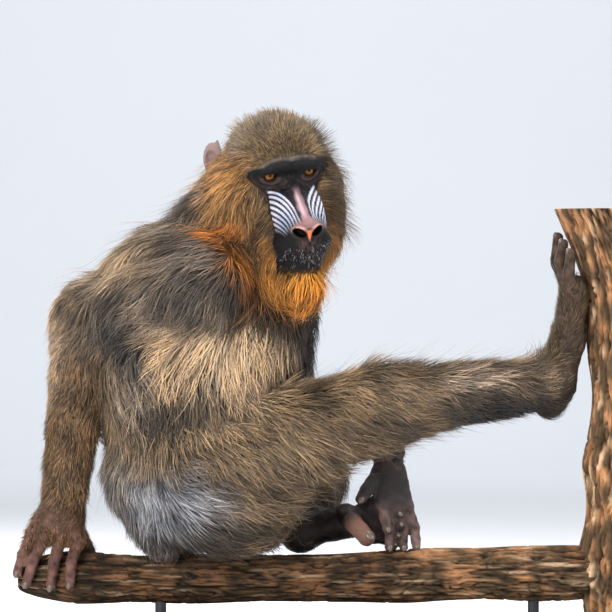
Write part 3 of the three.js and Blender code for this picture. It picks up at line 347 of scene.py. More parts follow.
@dataclass
class Anatomy:
    """The masses of the whole animal, in the pose."""

    pose: Pose = field(default_factory=Pose)

    def ball(self, part: Part, at: Sequence[float], radii: Sequence[float],
             axes: Array | None = None, blend: float = 10.0) -> Ball:
        """An egg-shaped mass in the row frame."""
        own = np.eye(3) if axes is None else axes
        return Ball(part, np.array(at, float), np.array(radii, float), own, blend)

    def taper(self, part: Part, start: Sequence[float], end: Sequence[float],
              start_radius: float, end_radius: float, blend: float = 10.0) -> Taper:
        """A tapered mass in the row frame."""
        return Taper(part, np.array(start, float), np.array(end, float),
                     start_radius, end_radius, blend)

    def digit(self, part: Part, base: Sequence[float], bend: Sequence[float],
              tip: Sequence[float], base_radius: float, tip_radius: float) -> list[Mass]:
        """A finger or toe through three points.

        Args:
            part: The part of the body.
            base: Where it starts.
            bend: Its middle joint.
            tip: Its tip.
            base_radius: Radius at its start.
            tip_radius: Radius at its tip.

        Returns:
            Its two lengths.
        """
        middle = (base_radius + tip_radius) / 2.0
        return [self.taper(part, base, bend, base_radius, middle, 2.5),
                self.taper(part, bend, tip, middle, tip_radius, DIGIT_BLEND)]

    def torso(self) -> list[Mass]:
        """Rump, belly, chest, neck and tail stump.

        Returns:
            The masses.
        """
        turn = self.pose.torso
        return [
            self.ball(Part.RUMP, (-165, 8, 192), (88, 84, 72), turn, 20),
            self.ball(Part.RUMP, (-188, -14, 145), (34, 30, 36), turn, 16),
            self.ball(Part.RUMP, (-172, 26, 145), (34, 30, 36), turn, 16),
            self.ball(Part.CALLOSITY_RIGHT, (-188, -16, 119), (22, 13, 14), turn, 4),
            self.ball(Part.CALLOSITY_LEFT, (-170, 20, 119), (22, 13, 14), turn, 4),
            self.ball(Part.BELLY, (-144, 2, 265), (102, 88, 92), turn, 30),
            self.ball(Part.BELLY, (-190, -14, 300), (58, 68, 74), turn, 26),
            self.ball(Part.CHEST, (-130, -6, 350), (96, 80, 90), turn, 30),
            self.ball(Part.CHEST, (-187, -25, 398), (62, 72, 52), turn, 25),
            self.ball(Part.CHEST, (-190, -44, 402), (56, 45, 50), turn, 20),
            self.taper(Part.NECK, (-150, -22, 420), (-92, -50, 490), 58, 50, 25),
            self.taper(Part.TAIL, (-220, 50, 210), (-258, 78, 250), 17, 10, 10),
        ]

    def skull(self) -> list[Mass]:
        """Skull, ruff, brow, muzzle, jaw and nose, the two sides alike.

        Returns:
            The masses.
        """
        at, head, part = self.pose.head_point, self.pose.head, Part.HEAD
        masses: list[Mass] = [
            self.ball(part, at(-2, 4, 3), (58, 40, 49), head, 18),
            self.ball(part, at(34, 0, -6), (17, 36, 30), head, 10),
            self.taper(part, at(44, 0, -34), at(88, 0, -50), 30, 24, 10),
            self.taper(part, at(40, 0, -54), at(78, 0, -73), 28, 23, 8),
            self.ball(part, at(86, 0, -60), (23, 31, 17), head, 8),
            self.taper(part, at(47, 0, -3), at(98, 0, -37), 9, 9.5, 5),
            self.ball(part, at(102, 0, -40), (10, 18.5, 9), head, 4),
        ]
        for side in (-1, 1):
            masses += [
                self.ball(part, at(2, side * 24, 4), (44, 28, 36), head, 16),
                self.ball(part, at(4, side * 42, -20), (33, 24, 32), head, 14),
                self.ball(part, at(6, side * 47, -52), (40, 27, 48), head, 16),
                self.taper(part, at(46, side * 26, 11), at(51, 0, 16), 7.5, 8.5, 7),
                self.ball(part, at(74, side * 16, -29), (31, 10.5, 12), self.pose.bridge, 5),
                self.ball(part, at(42, side * 21.5, 2), (8.5, 13, 10), head, 4),
                self.ball(part, at(34, side * 27, -42), (26, 17, 32), head, 12),
            ]
        return masses

    def beard(self) -> list[Mass]:
        """The beard that hangs from chin and throat.

        Returns:
            The masses.
        """
        at, part = self.pose.head_point, Part.BEARD
        return [
            self.taper(part, at(56, 6, -84), (-40, -98, 392), 28, 22, 14),
            self.taper(part, at(40, -18, -84), (-60, -85, 402), 25, 19, 14),
            self.ball(part, at(38, 34, -80), (26, 24, 26), self.pose.head, 14),
        ]

    def arm_right(self) -> list[Mass]:
        """The arm that props the body up, its hand over the end of the branch.

        Returns:
            The masses.
        """
        pose, hand = self.pose, Part.HAND_RIGHT
        masses: list[Mass] = [
            self.taper(Part.ARM_UPPER_RIGHT, pose.shoulder_right, pose.elbow_right, 50, 38, 22),
            self.taper(Part.ARM_FORE_RIGHT, pose.elbow_right, pose.wrist_right, 36, 24, 12),
            self.ball(hand, (-299, 2, 146), (28, 16, 20), None, 8),
        ]
        fingers = (
            ((-325, -8, 135), (-335, -19, 112), (-341, -18, 93)),
            ((-312, -12, 131), (-324, -25, 106), (-331, -24, 82)),
            ((-295, -13, 130), (-302, -29, 104), (-305, -28, 79)),
            ((-277, -12, 127), (-283, -31, 105), (-285, -30, 82)),
        )
        for base, bend, tip in fingers:
            palm = np.array(pose.wrist_right) * 0.65 + np.array(base) * 0.35
            masses.append(self.taper(hand, palm, base, 13, 8.5, 7))
            masses += self.digit(hand, base, bend, tip, 6.6, 5.2)
        masses += self.digit(hand, (-276, 10, 132), (-268, 27, 114), (-268, 31, 94), 8, 6)
        return masses

    def arm_left(self) -> list[Mass]:
        """The arm that rests on the left knee, its hand hanging to the foot.

        Returns:
            The masses.
        """
        pose, hand = self.pose, Part.HAND_LEFT
        masses: list[Mass] = [
            self.taper(Part.ARM_UPPER_LEFT, pose.shoulder_left, pose.elbow_left, 42, 31, 20),
            self.taper(Part.ARM_FORE_LEFT, pose.elbow_left, pose.wrist_left, 30, 20, 10),
            self.ball(hand, (50, 8, 192), (19, 12, 24), None, 8),
        ]
        fingers = (
            ((44, -3, 163), (48, -12, 149), (50, -15, 139)),
            ((54, -1, 161), (53, -8, 139), (52, -10, 120)),
            ((63, 1, 161), (67, -3, 139), (67, -5, 120)),
            ((71, 5, 164), (79, 2, 141), (81, 0, 120)),
        )
        for base, bend, tip in fingers:
            palm = np.array(pose.wrist_left) * 0.6 + np.array(base) * 0.4
            masses.append(self.taper(hand, palm, base, 11, 7.5, 6))
            masses += self.digit(hand, base, bend, tip, 6, 5)
        masses += self.digit(hand, (37, 2, 192), (28, -6, 180), (22, -9, 171), 8, 6)
        return masses

    def leg_right(self) -> list[Mass]:
        """The leg that reaches out to the trunk, its sole flat on the bark.

        Returns:
            The masses.
        """
        pose, foot = self.pose, Part.FOOT_RIGHT
        masses: list[Mass] = [
            self.taper(Part.THIGH_RIGHT, pose.hip_right, pose.knee_right, 66, 44, 20),
            self.ball(Part.THIGH_RIGHT, (-116, -50, 173), (72, 44, 62), None, 24),
            self.taper(Part.SHANK_RIGHT, pose.knee_right, pose.ankle_right, 40, 27, 14),
            self.ball(foot, (221, -9, 276), (17, 19, 20), None, 10),
            self.taper(foot, (226, -10, 296), (243, -9, 345), 21, 19, 10),
            self.ball(foot, (250, -8, 384), (12, 27, 24), None, 8),
        ]
        toes = (
            ((243, 11, 391), (230, 11, 421), (232, 10, 445)),
            ((242, -1, 395), (229, -2, 425), (231, -3, 448)),
            ((242, -14, 393), (232, -15, 422), (236, -16, 441)),
            ((244, -27, 387), (241, -30, 411), (243, -30, 431)),
        )
        for base, bend, tip in toes:
            masses.append(self.taper(foot, (242, base[1] * 0.6 - 4, 336), base, 13, 8.5, 8))
            masses += self.digit(foot, base, bend, tip, 6.6, 5.4)
        masses += self.digit(foot, (247, 12, 328), (254, 34, 346), (262, 44, 366), 10.5, 8)
        return masses

    def leg_left(self) -> list[Mass]:
        """The leg that is folded flat, its foot on edge on the branch.

        Returns:
            The masses.
        """
        pose, foot = self.pose, Part.FOOT_LEFT
        masses: list[Mass] = [
            self.taper(Part.THIGH_LEFT, pose.hip_left, pose.knee_left, 62, 42, 20),
            self.taper(Part.SHANK_LEFT, pose.knee_left, pose.ankle_left, 37, 23, 12),
            self.ball(foot, (-42, 26, 134), (18, 19, 19), None, 8),
            self.taper(foot, (-34, 22, 138), (8, 12, 146), 18, 18, 8),
            self.ball(foot, (34, 10, 148), (20, 11, 26), None, 8),
        ]
        toes = (
            ((42, 11, 166), (58, 8, 162), (62, -5, 153)),
            ((46, 9, 154), (62, 6, 149), (63, -8, 142)),
            ((45, 9, 142), (61, 7, 137), (60, -6, 131)),
            ((41, 10, 130), (56, 9, 125), (56, -4, 121)),
        )
        for base, bend, tip in toes:
            masses += self.digit(foot, base, bend, tip, 7, 5.4)
        masses += self.digit(foot, (6, 4, 156), (14, -17, 146), (28, -27, 131), 10.5, 9)
        return masses

    def limbs(self) -> list[Limb]:
        """The trunk with head and beard, and the four limbs.

        Returns:
            The limbs.
        """
        pose = self.pose
        return [
            Limb(tuple(self.torso() + self.skull() + self.beard())),
            Limb(tuple(self.arm_right()), np.array(pose.shoulder_right), 110.0, 26.0),
            Limb(tuple(self.arm_left()), np.array(pose.shoulder_left), 90.0, 22.0),
            Limb(tuple(self.leg_right()), np.array(pose.hip_right), 150.0, 30.0),
            Limb(tuple(self.leg_left()), np.array(pose.hip_left), 130.0, 26.0),
        ]


@dataclass
class Flesh:
    """The body as a signed distance, out to the middle of the coat."""

    limbs: list[Limb]

    def distance(self, p: Array) -> Array:
        """Signed distance of scattered points, right near the skin and large far off.

        Args:
            p: Points in the row frame.

        Returns:
            One distance for each point.
        """
        whole: Array | None = None
        for limb in self.limbs:
            own = np.full(len(p), FAR)
            for mass in limb.masses:
                near = np.abs(p - mass.at).max(-1) < mass.reach + mass.blend + 30.0
                if near.any():
                    own[near] = joined(own[near], mass.distance(p[near]), mass.blend)
            whole = own if whole is None else joined(whole, own, limb.blend * limb.fade(p))
        return whole

    def grid(self, low: Array, high: Array, step: float) -> Array:
        """Signed distance at the points of a grid.

        Args:
            low: The grid's lowest corner.
            high: The corner that the grid reaches at least.
            step: Distance between grid points.

        Returns:
            A three-dimensional array of distances.
        """
        counts = np.ceil((high - low) / step).astype(int) + 1
        places = lattice(low, step, counts)
        whole: Array | None = None
        for limb in self.limbs:
            own = np.full(counts, FAR)
            for mass in limb.masses:
                margin = mass.reach + mass.blend + 2.0 * step + 12.0
                first = np.clip(((mass.at - margin - low) / step).astype(int), 0, counts)
                last = np.clip(((mass.at + margin - low) / step).astype(int) + 2, 0, counts)
                if (last <= first).any():
                    continue
                box = tuple(slice(a, b) for a, b in zip(first, last))
                own[box] = joined(own[box], mass.distance(places[box]), mass.blend)
            if whole is None:
                whole = own
                continue
            whole = joined(whole, own, limb.blend * limb.fade(places))
        return whole

    def part_distances(self, p: Array) -> Weights:
        """The distance of points from each part of the body.

        Args:
            p: Points in the row frame.

        Returns:
            Distances by part.
        """
        found: dict[Part, Array] = {}
        for limb in self.limbs:
            for mass in limb.masses:
                d = mass.distance(p)
                found[mass.part] = np.minimum(found.get(mass.part, np.full(len(p), FAR)), d)
        return found


@dataclass
class SampledField:
    """A signed distance kept on a grid, quick to read anywhere in it."""

    low: Array
    step: float
    values: Array

    def at(self, p: Array) -> Array:
        """The value at points, by straight lines between grid points.

        Args:
            p: Points in the row frame.

        Returns:
            One value for each point.
        """
        q = (p - self.low) / self.step
        top = np.array(self.values.shape) - 2
        base = np.clip(np.floor(q).astype(int), 0, top)
        f = np.clip(q - base, 0.0, 1.0)
        total = np.zeros(len(p))
        for corner in range(8):
            o = np.array([(corner >> 2) & 1, (corner >> 1) & 1, corner & 1])
            weight = np.prod(np.where(o == 1, f, 1.0 - f), axis=-1)
            i, j, k = (base + o).T
            total += weight * self.values[i, j, k]
        return total

    def slope(self, p: Array) -> Array:
        """The direction in which the value grows fastest, by differences over the grid."""
        return slope_of(self.at, p, 0.8 * self.step)


def slope_of(distance: Callable[[Array], Array], p: Array, h: float = 0.4) -> Array:
    """The slope of a distance function at points, by differences.

    Args:
        distance: The function.
        p: Points in the row frame.
        h: Half the length of a difference.

    Returns:
        One vector for each point.
    """
    parts = []
    for axis in range(3):
        step = np.zeros(3)
        step[axis] = h
        parts.append(distance(p + step) - distance(p - step))
    return np.stack(parts, -1) / (2.0 * h)


def surface_net(values: Array, low: Array, step: float) -> tuple[Array, Array]:
    """The closed surface where grid values cross zero, one point to a cell that it crosses.

    Args:
        values: Signed distances, positive on the whole rim of the grid.
        low: The grid's lowest corner.
        step: Distance between grid points.

    Returns:
        Points, and faces of four corners that point outwards.
    """
    inside = values < 0
    count = np.zeros(tuple(n - 1 for n in inside.shape), np.int8)
    corners = [np.array([(c >> 2) & 1, (c >> 1) & 1, c & 1]) for c in range(8)]
    cells = count.shape
    for o in corners:
        count += inside[o[0]:o[0] + cells[0], o[1]:o[1] + cells[1], o[2]:o[2] + cells[2]]
    crossed = (count > 0) & (count < 8)
    index = np.full(cells, -1, np.int64)
    cell = np.argwhere(crossed)
    index[crossed] = np.arange(len(cell))
    total = np.zeros((len(cell), 3))
    number = np.zeros(len(cell))
    for a in corners:
        va = values[tuple((cell + a).T)]
        for axis in range(3):
            if a[axis]:
                continue
            b = a.copy()
            b[axis] = 1
            vb = values[tuple((cell + b).T)]
            cut = (va < 0) != (vb < 0)
            t = np.where(cut, va / np.where(cut, va - vb, 1.0), 0.0)
            total += np.where(cut[:, None], a + t[:, None] * (b - a), 0.0)
            number += cut
    points = low + step * (cell + total / number[:, None])
    faces = []
    for axis in range(3):
        ahead = np.zeros(3, int)
        ahead[axis] = 1
        u, v = np.zeros(3, int), np.zeros(3, int)
        u[(axis + 1) % 3] = 1
        v[(axis + 2) % 3] = 1
        here = inside[:cells[0], :cells[1], :cells[2]]
        there = inside[ahead[0]:ahead[0] + cells[0], ahead[1]:ahead[1] + cells[1],
                       ahead[2]:ahead[2] + cells[2]]
        edge = np.argwhere(here != there)
        edge = edge[(edge[:, (axis + 1) % 3] > 0) & (edge[:, (axis + 2) % 3] > 0)]
        ring = [index[tuple((edge - o).T)] for o in (np.zeros(3, int), u, u + v, v)]
        quad = np.stack(ring, -1)
        out = here[tuple(edge.T)]
        faces.append(np.where(out[:, None], quad, quad[:, ::-1]))
    return points, np.concatenate(faces)


def make_mesh(name: str, points: Array, faces: Array) -> bpy.types.Mesh:
    """A mesh of equal-sided faces, with its points given in millimetres.

    Args:
        name: Its name.
        points: Its points, in millimetres.
        faces: The corners of each face.

    Returns:
        The mesh.
    """
    mesh = bpy.data.meshes.new(name)
    mesh.vertices.add(len(points))
    mesh.vertices.foreach_set("co", (points * MM).astype(np.float32).ravel())
    sides = faces.shape[1]
    mesh.loops.add(faces.size)
    mesh.loops.foreach_set("vertex_index", faces.astype(np.int32).ravel())
    mesh.polygons.add(len(faces))
    mesh.polygons.foreach_set("loop_start", np.arange(len(faces), dtype=np.int32) * sides)
    mesh.polygons.foreach_set("use_smooth", np.ones(len(faces), bool))
    mesh.update(calc_edges=True)
    return mesh


def show(name: str, data: bpy.types.ID) -> Piece:
    """An object at the world origin, linked into the scene.

    Args:
        name: Its name.
        data: What it shows.

    Returns:
        The object.
    """
    shown = bpy.data.objects.new(name, data)
    bpy.context.scene.collection.objects.link(shown)
    return shown


def place(mesh: bpy.types.Mesh, material: bpy.types.Material) -> Piece:
    """An object that shows a mesh in a material."""
    mesh.materials.append(material)
    return show(mesh.name, mesh)


def paint(mesh: bpy.types.Mesh, name: str, colours: Array) -> None:
    """Stores a colour for each point of a mesh.

    Args:
        mesh: The mesh.
        name: Its name.
        colours: One colour for each point.
    """
    layer = mesh.color_attributes.new(name, "FLOAT_COLOR", "POINT")
    rgba = np.ones((len(colours), 4), np.float32)
    rgba[:, :3] = np.clip(colours, 0.0, 1.0)
    layer.data.foreach_set("color", rgba.ravel())


def declare(piece: Piece, slot: str, *nodes: str) -> None:
    """Fixes a piece to the body and hides the solids that it stands for.

    Args:
        piece: The piece.
        slot: A material slot; not used.
        *nodes: Names of the solids that it stands for.
    """
    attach(piece, BODY)
    if nodes:
        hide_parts(*nodes)
    log.info("%s: %d faces", piece.name, len(piece.data.polygons))


class Nodes:
    """A small helper that adds and joins the nodes of one material or group."""

    def __init__(self, tree: bpy.types.NodeTree) -> None:
        """Starts on a tree."""
        self.tree = tree

    def add(self, kind: str, inputs: dict | None = None, **settings: object) -> bpy.types.Node:
        """Adds a node.

        Args:
            kind: The node's type name.
            inputs: Values or sockets for its inputs, by name or number.
            **settings: The node's own properties.

        Returns:
            The new node.
        """
        node = self.tree.nodes.new(kind)
        for name, value in settings.items():
            setattr(node, name, value)
        for name, value in (inputs or {}).items():
            if isinstance(value, Socket):
                self.tree.links.new(value, node.inputs[name])
            else:
                node.inputs[name].default_value = value
        return node

    def math(self, operation: str, a: object, b: object = 0.0) -> Socket:
        """The result of a sum on two values."""
        return self.add("ShaderNodeMath", {0: a, 1: b}, operation=operation).outputs[0]

    def mix(self, factor: object, a: object, b: object, how: str = "MIX") -> Socket:
        """Two colours mixed."""
        node = self.add("ShaderNodeMix", {0: factor, 6: a, 7: b}, data_type="RGBA", blend_type=how)
        return node.outputs[2]

    def stored(self, layer: str) -> Socket:
        """A colour that is kept in the mesh."""
        return self.add("ShaderNodeAttribute", attribute_name=layer).outputs["Color"]

    def where(self) -> Socket:
        """The place on the object."""
        return self.add("ShaderNodeTexCoord").outputs["Object"]

    def bump(self, height: object, strength: float, distance: float) -> Socket:
        """A direction bent by a height."""
        return self.add("ShaderNodeBump", {
            "Height": height, "Strength": strength, "Distance": distance}).outputs[0]

    def mottled(self, colour: object, scale: float, amount: float) -> bpy.types.bpy_prop_collection:
        """The shared patchy tone on a colour, and its fine height.

        Args:
            colour: The colour.
            scale: How fine the patches are.
            amount: How strongly they vary.

        Returns:
            Sockets named Colour and Height.
        """
        return self.add("ShaderNodeGroup", {
            "Place": self.where(), "Colour": colour, "Scale": scale, "Amount": amount,
        }, node_tree=mottle_group()).outputs

    def ramp(self, value: object, stops: Sequence[tuple[float, float]]) -> Socket:
        """A value turned into a grey through stops.

        Args:
            value: The value.
            stops: Places on it and their greys.

        Returns:
            The grey's socket.
        """
        node = self.add("ShaderNodeValToRGB", {0: value})
        band = node.color_ramp
        while len(band.elements) < len(stops):
            band.elements.new(0.5)
        for element, (where, grey) in zip(band.elements, stops):
            element.position = where
            element.color = (grey, grey, grey, 1.0)
        return node.outputs[0]


def mottle_group() -> bpy.types.ShaderNodeTree:
    """A shared effect that varies a colour in soft patches and gives a fine height.

    Returns:
        The group.
    """
    name = "patchy_tone"
    if name in bpy.data.node_groups:
        return bpy.data.node_groups[name]
    tree = bpy.data.node_groups.new(name, "ShaderNodeTree")
    face = tree.interface
    for socket, way, kind in (("Place", "INPUT", "Vector"), ("Colour", "INPUT", "Color"),
                              ("Scale", "INPUT", "Float"), ("Amount", "INPUT", "Float"),
                              ("Colour", "OUTPUT", "Color"), ("Height", "OUTPUT", "Float")):
        face.new_socket(socket, in_out=way, socket_type="NodeSocket" + kind)
    nodes = Nodes(tree)
    source = nodes.add("NodeGroupInput").outputs
    noise = nodes.add("ShaderNodeTexNoise", {
        "Vector": source["Place"], "Scale": source["Scale"], "Detail": 5.0, "Roughness": 0.6})
    spread = nodes.math("MULTIPLY", nodes.math("SUBTRACT", noise.outputs[0], 0.5), source["Amount"])
    tone = nodes.math("ADD", spread, 1.0)
    grey = nodes.add("ShaderNodeCombineColor", {0: tone, 1: tone, 2: tone}).outputs[0]
    colour = nodes.mix(1.0, source["Colour"], grey, "MULTIPLY")
    nodes.add("NodeGroupOutput", {"Colour": colour, "Height": noise.outputs[0]})
    return tree


@dataclass(frozen=True)
class Finish:
    """A material with its own name; each kind gives its shader's inputs in `dress`."""

    name: str
    roughness: float = 0.6

    def build(self) -> bpy.types.Material:
        """The material, made once.

        Returns:
            The material.
        """
        if self.name in bpy.data.materials:
            return bpy.data.materials[self.name]
        material = bpy.data.materials.new(self.name)
        material.use_nodes = True
        material.node_tree.nodes.clear()
        nodes = Nodes(material.node_tree)
        inputs = {"Roughness": self.roughness, **self.dress(nodes)}
        shader = nodes.add("ShaderNodeBsdfPrincipled", inputs)
        nodes.add("ShaderNodeOutputMaterial", {0: shader.outputs[0]})
        return material

    def dress(self, nodes: Nodes) -> dict[str, object]:
        """The shader's inputs for the finish's own pattern."""
        raise NotImplementedError


@dataclass(frozen=True)
class FurFinish(Finish):
    """Hair whose colours along each tuft are kept in the mesh."""

    layer: str = "Coat"

    def dress(self, nodes: Nodes) -> dict[str, object]:
        """The stored colour, a little varied from hair to hair.

        Args:
            nodes: The material's nodes.

        Returns:
            Inputs of the shader, by name.
        """
        colour, _ = nodes.mottled(nodes.stored(self.layer), 420.0, 0.5)
        return {"Base Color": colour, "Specular IOR Level": 0.28, "Sheen Weight": 0.12,
                "Sheen Roughness": 0.4}


@dataclass(frozen=True)
class HideFinish(Finish):
    """Bare or thinly haired skin whose markings are kept in the mesh."""

    layer: str = "Hide"
    crease_scale: float = 260.0
    crease_depth: float = 0.0006

    def dress(self, nodes: Nodes) -> dict[str, object]:
        """The stored colour, with fine creases and pores.

        Args:
            nodes: The material's nodes.

        Returns:
            Inputs of the shader, by name.
        """
        colour, height = nodes.mottled(nodes.stored(self.layer), 180.0, 0.35)
        cells = nodes.add("ShaderNodeTexVoronoi", {
            "Vector": nodes.where(), "Scale": self.crease_scale}, feature="DISTANCE_TO_EDGE")
        edge = nodes.math("MINIMUM", nodes.math("MULTIPLY", cells.outputs[0], 4.0), 1.0)
        relief = nodes.math("ADD", nodes.math("MULTIPLY", edge, 0.6), height)
        wet = nodes.math("ADD", nodes.math("MULTIPLY", height, 0.3), self.roughness - 0.15)
        return {"Base Color": colour, "Normal": nodes.bump(relief, 0.45, self.crease_depth),
                "Roughness": wet, "Specular IOR Level": 0.13}


@dataclass(frozen=True)
class EyeFinish(Finish):
    """A wet eye: dark pupil, amber iris with rays, dark rim and brownish white."""

    layer: str = "Gaze"

    def dress(self, nodes: Nodes) -> dict[str, object]:
        """Colours the eye by the angle from its own axis.

        Args:
            nodes: The material's nodes.

        Returns:
            Inputs of the shader, by name.
        """
        part = nodes.add("ShaderNodeSeparateColor", {0: nodes.stored(self.layer)}).outputs
        rays = nodes.add("ShaderNodeTexNoise", {"Scale": 34.0, "Detail": 2.0, "W": part[1]},
                         noise_dimensions="1D")
        iris = nodes.mix(rays.outputs[0], (0.11, 0.034, 0.008, 1.0), (0.38, 0.145, 0.028, 1.0))
        rings = nodes.ramp(part[0], ((0.0, 0), (0.10, 0), (0.125, 1), (0.35, 1), (0.40, 0.05)))
        inner = nodes.mix(1.0, iris, rings, "MULTIPLY")
        white = nodes.ramp(part[0], ((0.0, 0), (0.41, 0), (0.46, 1)))
        colour = nodes.mix(white, inner, (0.06, 0.035, 0.025, 1.0))
        # Painted shadow: the upper part of the eye darkens as if under the lid.
        lid = nodes.ramp(part[2], ((0.0, 1), (0.55, 1), (0.72, 0.2), (0.9, 0.03)))
        return {"Base Color": nodes.mix(1.0, colour, lid, "MULTIPLY"),
                "Specular IOR Level": 0.1, "Coat Weight": 0.2, "Coat Roughness": 0.03}


@dataclass(frozen=True)
class BarkFinish(Finish):
    """Rough bark: ridged plates with orange flakes between dark cracks."""

    layer: str = "Bark"

    def dress(self, nodes: Nodes) -> dict[str, object]:
        """The stored colour of plates and cracks, with flakes and grain.

        Args:
            nodes: The material's nodes.

        Returns:
            Inputs of the shader, by name.
        """
        colour, _ = nodes.mottled(nodes.stored(self.layer), 90.0, 1.0)
        flakes = nodes.add("ShaderNodeTexVoronoi", {
            "Vector": nodes.where(), "Scale": 150.0, "Randomness": 1.0})
        grain = nodes.add("ShaderNodeTexNoise", {
            "Vector": nodes.where(), "Scale": 330.0, "Detail": 6.0, "Roughness": 0.7})
        height = nodes.math("MULTIPLY", flakes.outputs[0], 0.25)
        height = nodes.math("ADD", height, grain.outputs[0])
        return {"Base Color": colour, "Normal": nodes.bump(height, 0.8, 0.0022),
                "Specular IOR Level": 0.2}


@dataclass(frozen=True)
class PlainFinish(Finish):
    """One tone in soft patches, for nails, stiff hairs, the stand and the studio."""

    tone: Triple = (0.38, 0.355, 0.35)
    scale: float = 500.0
    amount: float = 0.8
    bump: tuple[float, float] | None = None
    shine: tuple[str, float] = ("Specular IOR Level", 0.3)

    def dress(self, nodes: Nodes) -> dict[str, object]:
        """The tone, with a bump where there is one.

        Args:
            nodes: The material's nodes.

        Returns:
            Inputs of the shader, by name.
        """
        colour, height = nodes.mottled((*self.tone, 1.0), self.scale, self.amount)
        inputs = {"Base Color": colour, self.shine[0]: self.shine[1]}
        if self.bump:
            inputs["Normal"] = nodes.bump(height, *self.bump)
        return inputs


@dataclass(frozen=True)
class Patch:
    """A soft-edged change of the coat's colour round a place on the body."""

    at: Triple
    radii: Triple
    colour: Triple
    strength: float

    def lay(self, p: Array, colour: Array) -> Array:
        """The colours after the patch is laid over them.

        Args:
            p: Points in the row frame.
            colour: The colour.

        Returns:
            The new colours.
        """
        far = (((p - np.array(self.at)) / np.array(self.radii)) ** 2).sum(-1)
        amount = self.strength * np.exp(-far * far)
        return over(colour, amount, self.colour)


ORANGE = (0.62, 0.225, 0.034)
DARK_MANTLE = (0.078, 0.062, 0.052)


